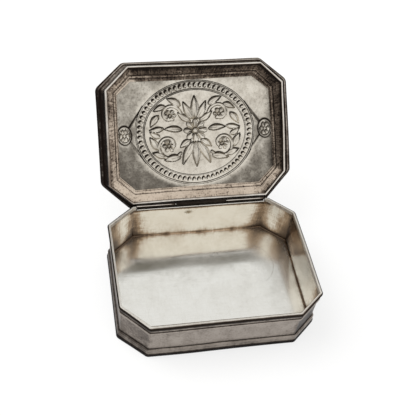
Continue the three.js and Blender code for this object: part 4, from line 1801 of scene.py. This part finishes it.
@dataclass(frozen=True)
class Leaf:
    """One leaf: root, direction in degrees, length, half width, bend and lift."""

    x: float
    v: float
    direction: float
    length: float
    width: float
    bend: float = 0.0
    lift: float = 1.2
    fullness: float = 0.8
    rib: float = 0.3
    rib_width: float = 0.16

    def relief(self, x: Array, v: Array) -> Array:
        """Lift of the leaf: lift * (1 - s^2)^fullness, s across the blade, with a fine midrib.

        Args:
            x: plan points across.
            v: plan points along.

        Returns:
            Lift at each point.
        """
        angle = math.radians(self.direction)
        along = ((x - self.x) * math.cos(angle) + (v - self.v) * math.sin(angle)) / self.length
        across = -(x - self.x) * math.sin(angle) + (v - self.v) * math.cos(angle)
        inside = unit(along)
        across = across - self.bend * self.length * inside * (1 - inside)
        width = self.width * np.sin(math.pi * inside**self.fullness) ** self.fullness + 1e-6
        s = across / width
        blade = unit(1 - s**2) ** self.fullness * ((along > 0) & (along < 1))
        return self.lift * blade * (1 - self.rib * hump(s, 0, self.rib_width) * (1 - inside))


@dataclass(frozen=True)
class Flower:
    """One open flower: centre, radius, petals and lift."""

    x: float
    v: float
    radius: float
    petals: int
    lift: float = 1.3

    def relief(self, x: Array, v: Array) -> Array:
        """Lift of the flower: rounded petals, longest at each lobe's middle, about a small round eye.

        Args:
            x: plan points across.
            v: plan points along.

        Returns:
            Lift at each point.
        """
        eye_radius, petals_from, eye_height = 0.26, 0.3, 0.8
        r = np.hypot(x - self.x, v - self.v) / self.radius
        lobe = np.abs(np.cos(self.petals * np.arctan2(v - self.v, x - self.x) / 2))
        petal = dome(r / (0.72 + 0.28 * lobe)) * (0.4 + 0.6 * lobe)
        return self.lift * np.maximum(petal * (r > petals_from), eye_height * dome(r / eye_radius))


@dataclass
class LeafSpray:
    """Symmetrical ornament of scrolls, leaves and flowers that fills the oval."""

    stem_width: float = 0.8
    stem_lift: float = 0.85
    parts: tuple[Leaf | Flower, ...] = (
        Leaf(0.0, 6.6, 90, 10.4, 2.0), Leaf(0.9, 6.2, 62, 9.4, 1.8, -0.12),
        Leaf(2.0, 5.4, 34, 7.4, 1.7, -0.18), Leaf(0.0, -4.0, -90, 12.0, 2.1),
        Leaf(1.0, -4.2, -62, 12.0, 2.0, 0.14),
        Leaf(2.2, -3.4, -34, 6.4, 1.7, 0.2), Leaf(7.4, -11.2, -8, 8.0, 1.9, 0.2),
        Leaf(14.6, -11.0, 22, 6.4, 1.7, 0.22), Leaf(18.2, -7.2, 62, 6.6, 1.8, 0.22),
        Leaf(16.4, -1.6, 30, 5.4, 1.5, -0.2), Leaf(6.4, 12.6, 28, 7.2, 1.7, 0.2),
        Leaf(13.4, 12.6, -22, 6.0, 1.6, 0.2), Leaf(16.6, 8.4, -52, 6.6, 1.7, 0.2),
        Leaf(6.0, 1.4, 4, 8.6, 1.7, 0.16), Leaf(14.6, 2.4, -6, 6.8, 1.5, -0.1),
        Flower(0.0, 1.0, 5.6, 8, 1.5), Flower(12.6, -5.6, 3.2, 6, 1.25), Flower(11.4, 8.2, 2.9, 6, 1.2),
    )
    scrolls: Table = (
        (12.6, -5.6, 6.4, 0.72, -2.5, 3.4, 44), (11.4, 8.4, 5.2, 0.66, 3.3, -1.9, 40),
    )

    def stems(self) -> list[Array]:
        """Centre lines of the stems on the right half: scrolls whose radius shrinks evenly with the turn.

        Returns:
            (n, 2) points of each scroll.
        """
        lines = []
        for x, v, radius, shrink, start, end, count in self.scrolls:
            turn = np.linspace(start, end, count)
            shrunk = radius - shrink * np.abs(turn - start)
            lines.append(np.stack([x + shrunk * np.cos(turn), v + shrunk * np.sin(turn)], axis=1))
        return lines

    def relief(self, x: Array, v: Array) -> Array:
        """Lift of the whole spray, mirrored about the middle line.

        Args:
            x: plan points across.
            v: plan points along, towards the lid's front edge.

        Returns:
            Lift, the highest of stems, leaves and flowers at each point.
        """
        side = np.abs(x)
        lift = np.zeros_like(x)
        for line in self.stems():
            gap = np.minimum.reduce([segment_gap(side, v, a, b) for a, b in zip(line[:-1], line[1:])])
            lift = np.maximum(lift, self.stem_lift * dome(gap / self.stem_width))
        for part in self.parts:
            lift = np.maximum(lift, part.relief(side, v))
        return lift


@dataclass(frozen=True)
class Rosette:
    """Boss with six petals beside the oval: centre, half width, the film that dulls it, and its tallness."""

    x: float
    y: float
    radius: float
    film: float
    tall: float = 1.32

    def polar(self, x: Array, y: Array) -> tuple[Array, Array]:
        """Distance from the centre in radii, and bearing."""
        across, along = (x - self.x) / self.radius, (y - self.y) / (self.radius * self.tall)
        return np.hypot(across, along), np.arctan2(along, across)

    def relief(self, x: Array, y: Array) -> Array:
        """Lift: a rounded rim, six petals and a round eye.

        Args:
            x: plan points.
            y: plan points.

        Returns:
            Lift at each point.
        """
        rim_at, rim_half, petal_at, eye_radius = 0.86, 0.14, 0.43, 0.2
        r, angle = self.polar(x, y)
        lobe = np.abs(np.cos(3 * angle))
        rim = 0.5 * unit(1 - ((r - rim_at) / rim_half) ** 2)
        petal = 0.7 * dome((r - petal_at) / (0.12 + 0.15 * lobe)) * lobe**0.6
        return np.maximum(rim, np.maximum(petal, 0.5 * dome(r / eye_radius)))

    def outline(self, x: Array, y: Array) -> Array:
        """Dark line round the rim: exp(-((r - 1.02) / 0.07) ** 2)."""
        return hump(self.polar(x, y)[0], 1.02, 0.07)


def local_mean(lift: Array, blur: int) -> Array:
    """Mean of a relief over a square window, wrapped along the columns and held at the end rows.

    Args:
        lift: (rows, columns) relief.
        blur: half window, in grid steps.

    Returns:
        (rows, columns) means.
    """
    kernel = np.full(2 * blur + 1, 1 / (2 * blur + 1))
    wide = np.pad(lift, ((0, 0), (blur, blur)), mode="wrap")
    mean = np.apply_along_axis(np.convolve, 1, wide, kernel, "valid")
    tall = np.pad(mean, ((blur, blur), (0, 0)), mode="edge")
    return np.apply_along_axis(np.convolve, 0, tall, kernel, "valid")


def slopes(x: Array, y: Array, lift: Array) -> tuple[Array, Array]:
    """Slopes of a relief, found from the grid's own steps along its rows and columns.

    Args:
        x: (rows, columns) plan points, closed along the columns.
        y: (rows, columns) plan points.
        lift: (rows, columns) relief.

    Returns:
        Slope along x and slope along y: the solution of the two equations step_x * slope_x +
        step_y * slope_y = step of the lift, one for a step along each way of the grid.
    """
    x_row, y_row, lift_row = (np.gradient(a, axis=0) for a in (x, y, lift))
    x_col, y_col, lift_col = ((np.roll(a, -1, 1) - np.roll(a, 1, 1)) / 2 for a in (x, y, lift))
    area = x_row * y_col - y_row * x_col
    area = np.where(np.abs(area) < TINY, TINY, area)
    return (lift_row * y_col - y_row * lift_col) / area, (x_row * lift_col - lift_row * x_col) / area


@dataclass
class Panel:
    """Embossed sheet of the lid: its ground with two rosettes, the beaded ring and the leaf oval."""

    medallion: Medallion = field(default_factory=Medallion)
    spray: LeafSpray = field(default_factory=LeafSpray)
    rosettes: tuple[Rosette, Rosette] = (Rosette(-32.7, 0.0, 3.2, 0.2), Rosette(33.0, -0.6, 3.3, 0.34))
    low: float = LID_FLOOR + 4.9
    edge: float = -4.7
    # Painted shade: along the border's inner edge on some sides, and a film that rises towards the hinge side
    # and left end.
    shade: SideValues = (0.34, 0.05, 0.0, 0.0, 0.0, 0.1, 0.2, 0.42)
    shade_from: float = 5.6
    shade_length: float = 1.6
    film_mean: float = 0.385
    shade_slopes: Place = (-0.048, 0.095, 0.015)
    film_scale: Span = (25.0, 18.0)
    rosette_reach: float = 1.2
    oval_film: float = 0.21
    oval_edge: Span = (0.99, 1.12)
    end_film: float = 0.2
    end_at: Span = (28.6, 0.0)
    end_size: Span = (2.2, 5.0)
    line_lift: float = 0.45
    line_half: float = 0.55
    # Painted shade along the lines that join the rosettes to the oval, more on the side away from the hinge.
    line_shade: Table = ((1, 0.1), (-1, 0.35))
    line_shade_width: float = 0.38
    outline_dark: float = 0.55
    row_margin: float = 0.15
    ring_share: float = 0.25
    # Painted shade on the ring's side away from the hinge, lighter on the hinge side.
    ring_shade: Span = (-0.08, 0.12)
    ring_shade_span: Span = (12.0, 22.0)
    oval_grid: tuple[int, int] = (110, 360)
    ring_grid: tuple[int, int] = (31, 10)
    ground_grid: tuple[int, int] = (44, 720)

    def line_gap(self, x: Array, y: Array, rosette: Rosette, side: int) -> Array:
        """Distance to the line that joins a rosette to the oval and touches it: cos t = a / x there.

        Args:
            x: plan points.
            y: plan points.
            rosette: where the line starts.
            side: 1 for the line on the hinge side, -1 for the other.

        Returns:
            Distance in millimetres.
        """
        inset = 0.4
        a, b = self.medallion.half_width - inset, self.medallion.half_depth - inset
        t = math.acos(a / abs(rosette.x))
        touch = np.array([math.copysign(a * math.cos(t), rosette.x), side * b * math.sin(t)])
        return segment_gap(x, y, touch, np.array([rosette.x, rosette.y]))

    def ground_lift(self, x: Array, y: Array) -> tuple[Array, Array]:
        """Relief of the panel outside the oval: rosettes and the lines that join them to it.

        Args:
            x: plan points.
            y: plan points.

        Returns:
            Lift, and the dark marks of outlines and the painted shade of the lines.
        """
        lift, dark = np.zeros_like(x), np.zeros_like(x)
        for rosette in self.rosettes:
            beside = rosette.polar(x, y)[0] > 1.0
            lift = np.maximum(lift, rosette.relief(x, y))
            dark = np.maximum(dark, self.outline_dark * rosette.outline(x, y))
            for side, amount in self.line_shade:
                gap = self.line_gap(x, y, rosette, side)
                lift = np.maximum(lift, self.line_lift * dome(gap / self.line_half) * beside)
                dark = np.maximum(dark, amount * hump(gap, 0, self.line_shade_width) * beside)
        return lift, dark

    def film(self, flat: Array) -> Array:
        """Film of the panel: it grows towards the lid's hinge side and left end, as painted shade.

        It is also heavier under the border on the far sides, as painted shade, lighter inside the oval, and
        has its own value on each rosette.

        Args:
            flat: (n, 2) plan points.

        Returns:
            (n,) film.
        """
        x, y = flat.T
        across, along = x / self.film_scale[0], y / self.film_scale[1]
        by_x, by_y, by_both = self.shade_slopes
        film = self.film_mean + by_x * across + by_y * along + by_both * across * along
        from_edge = -self.shade_from - PLAN.offset_of(flat)
        film += PLAN.by_side(flat, self.shade) * fall(from_edge, self.shade_length)
        for rosette in self.rosettes:
            near, _ = rosette.polar(x, y)
            film += (rosette.film - film) * np.exp(-((near / self.rosette_reach) ** 4))
        beyond = np.hypot(x / self.medallion.half_width, y / self.medallion.half_depth)
        film = self.oval_film + (film - self.oval_film) * smooth(beyond, *self.oval_edge)
        return film + self.end_film * spot(np.abs(x), y, self.end_at, self.end_size) * (beyond > 1.0)

    def marked(
        self, surface: Surface, x: Array, y: Array, lift: Array, blur: int, away: Place = (0.2, 0.34, 0.06)
    ) -> Surface:
        """Add marks from the relief: tarnish in deep places and on steep sides, and the film.

        Sides that face away from the light get painted shade, and those that face it are cleared to a painted
        highlight.

        Args:
            surface: sheet from sheet_from_rows.
            x: (rows, columns) plan points.
            y: (rows, columns) plan points.
            lift: (rows, columns) relief.
            blur: half window of the local mean, in grid steps.
            away: painted shade for a slope along x and along y, and a mark for a slope in any direction.

        Returns:
            The same surface with marks.
        """
        most_steep, most_away, most_lit = 1.6, 0.9, 0.8
        lit_clear, raised_dark, outer_steep, outer_deep, raised_wear = 0.25, 0.1, 0.35, 0.9, 2.0
        high = lift - local_mean(lift, blur)
        slope_x, slope_y = slopes(x, y, lift)
        steep = np.minimum(np.hypot(slope_x, slope_y), most_steep)
        # Painted shade on slopes turned from the light, and a painted highlight on slopes turned to it.
        facing = away[0] * slope_x + away[1] * slope_y
        lit = np.clip(-facing / math.hypot(*away[:2]), 0, most_lit)
        raised = np.maximum(high, 0)
        inside = away[2] * steep + np.clip(facing, 0, most_away) - lit_clear * lit + raised_dark * raised
        outside = outer_steep * steep + outer_deep * np.maximum(-high, 0)
        count = len(surface.points) // 2
        pad = np.zeros(count - lift.size)
        surface.marks["hollow"] = np.concatenate([inside.ravel(), pad, outside.ravel(), pad])
        surface.marks["edge"] = np.concatenate([np.zeros(count), raised_wear * raised.ravel(), pad])
        surface.marks["film"] = self.film(surface.flat)
        return surface

    def leaf_oval(self) -> Surface:
        """Inner field of the oval with the leaf spray, on a polar grid.

        Returns:
            The sheet with marks.
        """
        rows, columns = self.oval_grid
        angle = np.linspace(0, TURN, columns, endpoint=False)[None, :]
        share = np.linspace(1.0, 0.012, rows)[:, None]
        x, y = (share * a for a in self.medallion.oval(self.medallion.inset, angle))
        fade = rise(1 - share, 0, 0.04)
        uneven = 0.03 * np.sin(2.1 * x + 0.6 * y) * np.sin(1.7 * y - 0.9 * x)
        lift = (self.spray.relief(x, -y) + uneven) * fade + self.medallion.dome * (1 - share**2)
        sheet = sheet_from_rows(x, y, lift, self.low, float(lift[-1].mean()))
        return self.marked(sheet, x, y, lift, 4)

    def beaded_ring(self) -> Surface:
        """Beaded ring of the oval, with dark lines along its rings.

        Returns:
            The sheet with marks.
        """
        oval = self.medallion
        rows, per_bead = self.ring_grid
        steps = per_bead * oval.beads
        inset = np.linspace(0, oval.inset, rows)[:, None]
        x, y = oval.oval(inset, oval.even_angles(steps)[None, :])
        lift = oval.border_lift(inset, np.arange(steps)[None, :] / per_bead)
        sheet = sheet_from_rows(x, y, lift, self.low, None)
        surface = self.marked(sheet, x, y, lift, 3, (0.95, 0.85, 0.0))
        in_row = np.abs(inset - oval.inset / 2) < oval.bead_row / 2 + self.row_margin
        shares = np.where(in_row, 1.0, self.ring_share)
        lines = lines_at(inset, ((0.0, 0.2, 0.75), (oval.ring, 0.16, 0.25), (oval.inset - 0.15, 0.16, 0.7)))
        share, line = (np.tile(np.repeat(a.ravel(), steps), 2) for a in (shares, lines))
        surface.marks["hollow"] = share * surface.marks["hollow"] + line
        # Painted shade on the ring's side away from the hinge, lighter on the hinge side.
        for way, amount in zip((1, -1), self.ring_shade):
            surface.marks["film"] += amount * smooth(way * surface.points[:, 1], *self.ring_shade_span)
        return surface

    def ground(self) -> Surface:
        """Panel between its canted edge and the oval, along rays from the centre.

        Returns:
            The sheet with marks.
        """
        rows, columns = self.ground_grid
        ox, oy = self.medallion.oval(0.0, self.medallion.even_angles(columns))
        edge = PLAN.path(np.array([self.edge]))[0]
        bearing = np.unwrap(np.arctan2(edge[:, 1], edge[:, 0]))
        reach = np.hypot(edge[:, 0], edge[:, 1])
        want = bearing[0] + np.mod(np.unwrap(np.arctan2(oy, ox)) - bearing[0], TURN)
        far = np.interp(want, np.append(bearing, bearing[0] + TURN), np.append(reach, reach[0]))
        start = np.hypot(ox, oy)
        radius = start + (far - start) * np.linspace(1, 0, rows)[:, None]
        x, y = radius * (ox / start), radius * (oy / start)
        lift, dark = self.ground_lift(x, y)
        surface = self.marked(sheet_from_rows(x, y, lift, self.low, None), x, y, lift, 3)
        surface.marks["hollow"][: dark.size] += dark.ravel()
        return surface


@dataclass
class Lid:
    """Rim, side, cornice, frame, inner border, embossed panel and the moving half of the hinge."""

    panel: Panel = field(default_factory=Panel)
    lip_shift: Shifts = ((0, 0.2), (0, 0), (0, 0), (0, 0), (0, 0), (0.3, 0.3), (0.3, 1.0), (-0.3, 1.0))
    # Painted shade on the lid's rim that differs from side to side.
    rim_side_shade: SideValues = (0.28, 0.25, 0.31, 0.32, 0.32, 0.28, 0.22, 0.24)
    rim_left_shade: SideValues = (0.0, 0.0, 0.0, 0.12, 0.2, 0.0, 0.0, 0.0)
    rim_inner_shade: SideValues = (0.35, 0.35, 0.05, 0.2, 0.08, 0.3, 0.35, 0.35)
    rim_left_span: Span = (-8.0, 18.0)
    rim_inner_span: Span = (1.02, 1.14)
    rim_top_film: float = 0.64
    rim_top_span: Span = (0.12, 0.37)
    # Painted shade on the lid's side that differs from side to side.
    side_shade: SideValues = (0.3, 0.45, 0.6, 0.65, 0.7, 0.14, 0.22, 0.3)
    side_lines: Table = ((1.2, 0.5, 0.9), (4.9, 0.4, 0.8))
    # Painted shade on the cornice that differs from side to side, with a painted highlight on the front.
    cornice_side_shade: SideValues = (0.14, 0.35, 0.5, 0.5, 0.55, 0.1, -0.12, 0.1)
    # Painted shade on the border by side, and painted highlights along its steps by side.
    border_side_shade: SideValues = (0.54, 0.32, 0.08, 0.17, 0.38, 0.44, 0.67, 0.7)
    border_seam: SideValues = (0.5, 0.5, 0.2, 0.3, 0.22, 0.35, 0.5, 0.5)
    border_edge_highlight: SideValues = (0.1, 0.6, 0.5, 0.6, 0.3, 0.8, 0.1, 0.0)
    border_offsets: tuple[float, ...] = (-6.0, -4.0, -3.6, -1.3)
    border_shares: tuple[float, ...] = (0.5, 0.52, 0.8, 1.08)
    border_hollow: float = 0.75
    seam_at: float = -1.35
    seam_width: float = 0.3
    wear_below: float = -3.4
    lip_span: Span = (5.0, 5.3)
    strip_film: float = 0.6
    strip_front: float = 0.05

    def at(self, corners: list[Corner], steps: int = 4) -> Array:
        """A rounded section with heights counted from the lid's lower edge."""
        return rounded_section([(o, LID_FLOOR + h, r) for o, h, r in corners], steps)

    def rim(self) -> Surface:
        """Bright lower edge of the lid.

        Returns:
            The band, darkened above its flat, with painted shade along its inner edge, on the left towards
            the hinge, and more on some sides than others.
        """
        surface = band(self.at([
            (-1.25, 0.0, 0.12), (-0.55, 0.0, 0.16), (-0.35, 1.3, 0.0), (-1.35, 1.3, 0.0),
        ]))
        film = surface.side_mark(self.rim_side_shade)
        _, y, height = surface.points.T
        film += surface.side_mark(self.rim_left_shade) * smooth(y, *self.rim_left_span)
        inset = -PLAN.offset_of(surface.flat)
        film += surface.side_mark(self.rim_inner_shade) * rise(inset, *self.rim_inner_span)
        surface.marks["film"] = film + self.rim_top_film * rise(height - LID_FLOOR, *self.rim_top_span)
        surface.marks["hollow"] = np.zeros(len(surface.points))
        return surface

    def side(self) -> Surface:
        """Cavetto side: upright on the rim, flaring out to the cornice.

        Returns:
            The band, dark along both edges, with painted shade that differs from side to side.
        """
        outer = arc((1.25, 1.3), (-1.6, 3.6), 0.0, 1.0, 16)
        inner = arc((1.25, 1.3), (-2.3, 4.3), 1.0, 0.0, 16)
        surface = band(np.array([(o, LID_FLOOR + h) for o, h, _ in outer + inner]))
        surface.marks["film"] = surface.side_mark(self.side_shade)
        surface.marks["hollow"] = lines_at(surface.points[:, 2] - LID_FLOOR, self.side_lines)
        return surface

    def cornice(self) -> Surface:
        """Half-round edge between two small fillets.

        Returns:
            The band.
        """
        surface = band(self.at([
            (1.2, 4.7, 0.0), (1.6, 4.7, 0.05), (1.75, 5.05, 0.05),
            *arc((1.55, 5.85), (0.7, 0.72), -0.85, 0.85, 12),
            (1.7, 6.65, 0.05), (1.4, 6.8, 0.08), (1.2, 6.8, 0.0),
        ], 2))
        # Painted shade and highlight, by side.
        surface.marks["film"] = surface.side_mark(self.cornice_side_shade)
        return surface

    def frame(self) -> Surface:
        """Flat frame outside, with a sunk groove along each edge."""
        return band(self.at([
            (-5.7, 5.6, 0.0), (1.25, 5.6, 0.0), (1.25, 6.6, 0.05), (0.55, 6.6, 0.1), (0.2, 6.35, 0.1),
            (-4.65, 6.35, 0.1), (-5.0, 6.6, 0.1), (-5.7, 6.6, 0.15),
        ]))

    def border(self) -> Surface:
        """Inner border: a broad slope from the rim, then two narrow steps up to the panel.

        Returns:
            The band, dark along the rim and in its corners, with painted shade that differs from side to side
            and painted highlights along its steps.
        """
        surface = band(self.at([
            (-1.3, 1.2, 0.0), (-1.3, 2.1, 0.05), (-2.05, 2.9, 0.1), (-4.0, 4.1, 0.1), (-4.7, 4.9, 0.0),
            (-5.4, 4.9, 0.0), (-5.4, 4.6, 0.1), (-4.95, 4.25, 0.08), (-4.95, 3.75, 0.1), (-3.9, 3.4, 0.08),
            (-3.9, 2.9, 0.12),
        ]))
        offset = PLAN.offset_of(surface.flat)
        share = np.interp(offset, self.border_offsets, self.border_shares)
        # Painted shade by side, and below it painted highlights along the steps.
        surface.marks["film"] = surface.side_mark(self.border_side_shade) * share
        seam = surface.side_mark(self.border_seam) * hump(offset, self.seam_at, self.seam_width)
        surface.marks["hollow"] = self.border_hollow * surface.marks["hollow"] + seam
        surface.marks["edge"] *= surface.side_mark(self.border_edge_highlight) * (offset < self.wear_below)
        corner_marks(surface, inside_below=-1.2, reach=2.2, amount=0.3)
        lip = smooth(-offset, *self.lip_span)[:, None]
        surface.points[:, :2] += lip * PLAN.corner_shift(surface.flat, self.lip_shift)
        return surface

    def strip(self) -> Surface:
        """Dark strip behind the lid that carries the centre knuckle.

        Returns:
            The strip.
        """
        surface = stop_strip(PLAN.depth / 2 + self.strip_front, HINGE.z + HINGE.knuckle + HINGE.gap)
        surface.marks["film"] = np.full(len(surface.points), self.strip_film)
        return surface

    def build(self, shop: Workshop) -> None:
        """Make every piece that turns with the lid.

        Args:
            shop: makes the pieces.
        """
        lid, panel = Body.LID, self.panel
        side, border, sheet = (Silver.LID_SIDE,), (Silver.LID_BORDER,), (Silver.LID_PANEL,)
        shop.piece("lid_edge", self.rim(), (Silver.RIM,), lid, ("lid_rim",))
        shop.piece("lid_side", self.side(), side, lid, ("lid_wall",))
        shop.piece("lid_cornice_moulding", self.cornice(), side, lid, ("lid_cornice",))
        shop.piece("lid_top_frame", self.frame(), (Silver.OUTER_WALL,), lid, ("lid_frame",))
        shop.piece("lid_inner_border", self.border(), border, lid, ("lid_border",))
        shop.piece("lid_field", panel.ground(), sheet, lid, ("lid_panel",), shifted=False)
        shop.piece("lid_beaded_ring", panel.beaded_ring(), sheet, lid, shifted=False)
        shop.piece("lid_leaf_oval", panel.leaf_oval(), sheet, lid, shifted=False)
        strip, tube = self.strip(), knuckle(0.0, HINGE.centre_length)
        shop.hinge_piece("lid_bearer_strip", strip, Silver.MOULDING, lid, Slot.WORN, "lid_hinge_bearer")
        shop.hinge_piece("knuckle_centre", tube, Silver.RIM, lid, Slot.WORN, "hinge_knuckle_centre")


@dataclass
class Studio:
    """Pale floor, soft light and the camera at the photograph's angle; lengths in metres."""

    camera_at: Place = (-0.0599, -0.1824, 0.2776)
    right: Place = (0.9803, -0.1720, 0.0976)
    up: Place = (0.0696, 0.7622, 0.6435)
    field_of_view: float = 31.46
    sensor: float = 36.0
    clip: Span = (0.01, 20.0)
    floor_half: float = 3.0
    floor_colour: Colour = (0.9, 0.9, 0.89)
    floor_glow: float = 0.7
    dark_side: Place = (-0.72, -0.62, 0.30)
    dark_span: Span = (0.84, 1.0)
    dark_level: float = 0.25
    gap_angles: Span = (34.0, 54.4)
    gap_edges: Span = (-0.02, 0.004)
    gap_ends: Span = (0.65, 0.45)
    gap_colour: Colour = (0.19, 0.175, 0.145)
    gap_left: Colour = (0.03, 0.026, 0.02)
    gap_left_span: Span = (-0.22, 0.0)
    lamp_at: Place = (-1.2, 0.8, 1.3)
    lamp_aim: Place = (0.0, 0.02, 0.02)
    lamp_size: float = 2.0
    lamp_power: float = 34.0

    def add(self, name: str, data: bpy.types.ID) -> bpy.types.Object:
        """Put a new object into the scene.

        Args:
            name: object name.
            data: its mesh, lamp or camera.

        Returns:
            The object.
        """
        made = bpy.data.objects.new(name, data)
        bpy.context.scene.collection.objects.link(made)
        return made

    def floor(self) -> None:
        """Pale floor that keeps a soft shadow; white to the camera and in reflections."""
        material = bpy.data.materials.new("pale_floor")
        material.use_nodes = True
        bench = NodeBench(material.node_tree)
        path = bench.node("LightPath").outputs
        seen = bench.math("MAXIMUM", path["Is Camera Ray"], path["Is Glossy Ray"])
        seen = bench.math("MAXIMUM", seen, path["Is Transmission Ray"])
        matt = bench.node("BsdfDiffuse", {"Color": (*self.floor_colour, 1)}).outputs[0]
        glow = bench.node("Emission", {"Color": (1, 1, 1, 1), "Strength": 1.0}).outputs[0]
        mixed = bench.node("MixShader", {0: bench.product(seen, self.floor_glow), 1: matt, 2: glow})
        bench.node("OutputMaterial", {"Surface": mixed.outputs[0]})
        mesh = bpy.data.meshes.new("floor")
        h = self.floor_half
        mesh.from_pydata([(-h, -h, 0), (h, -h, 0), (h, h, 0), (-h, h, 0)], [], [(0, 1, 2, 3)])
        mesh.materials.append(material)
        made = self.add("floor", mesh)

    def world(self) -> None:
        """White surroundings with two unlit parts of a room: a soft one on the left and a gap behind the box.

        The gap lies between two planes through the X axis, at gap_angles above +Y, and is darker on its left.
        """
        world = bpy.data.worlds.new("studio")
        bpy.context.scene.world = world
        world.use_nodes = True
        bench = NodeBench(world.node_tree)
        path = bench.node("LightPath").outputs
        where = bench.node("TexCoord").outputs["Generated"]
        toward = bench.vector("DOT_PRODUCT", where, self.dark_side)
        shade = bench.ramp(toward, *self.dark_span, 1.0, self.dark_level)
        grey = bench.node("CombineColor", {0: shade, 1: shade, 2: shade}).outputs[0]
        across = bench.vector("DOT_PRODUCT", where, (1, 0, 0))
        gap = bench.ramp(bench.math("ABSOLUTE", across), *self.gap_ends)
        for angle, edge in zip(map(math.radians, self.gap_angles), self.gap_edges):
            over = bench.vector("DOT_PRODUCT", where, (0, -math.sin(angle), math.cos(angle)))
            gap = bench.product(gap, bench.ramp(over, edge, -edge))
        unlit = bench.blend(bench.ramp(across, *self.gap_left_span), self.gap_left, self.gap_colour)
        around = bench.blend(gap, grey, unlit)
        colour = bench.blend(path["Is Camera Ray"], around, (1.0, 1.0, 1.0))
        back = bench.node("Background", {"Color": colour, "Strength": 1.0})
        bench.node("OutputWorld", {"Surface": back.outputs[0]})

    def lamps(self) -> None:
        """One broad soft lamp above the left, which gives the shadow on the right."""
        lamp = bpy.data.lights.new("soft_key", "AREA")
        lamp.size, lamp.energy = self.lamp_size, self.lamp_power
        made = self.add("soft_key", lamp)
        made.location = self.lamp_at
        made.rotation_euler = (Vector(self.lamp_aim) - made.location).to_track_quat("-Z", "Y").to_euler()
        made.visible_glossy = False

    def camera(self) -> None:
        """Camera fitted to the photograph, taken as 416 x 416."""
        data = bpy.data.cameras.new("photo_camera")
        data.sensor_fit = "HORIZONTAL"
        data.sensor_width = self.sensor
        data.lens = self.sensor / 2 / math.tan(math.radians(self.field_of_view) / 2)
        data.clip_start, data.clip_end = self.clip
        right, up = Vector(self.right).normalized(), Vector(self.up).normalized()
        back = right.cross(up).normalized()
        up = back.cross(right)
        made = self.add("photo_camera", data)
        turn = Matrix((right, up, back)).transposed().to_4x4()
        made.matrix_world = Matrix.Translation(self.camera_at) @ turn
        bpy.context.scene.camera = made

    def build(self) -> None:
        """Set up the whole studio."""
        bpy.context.scene.view_settings.view_transform = "Standard"
        self.floor()
        self.world()
        self.lamps()
        self.camera()


def main() -> None:
    logging.basicConfig(level=logging.INFO, format="%(message)s")
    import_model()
    shop = Workshop()
    BoxBody().build(shop)
    Lid().build(shop)
    Studio().build()


if __name__ == "__main__":
    main()
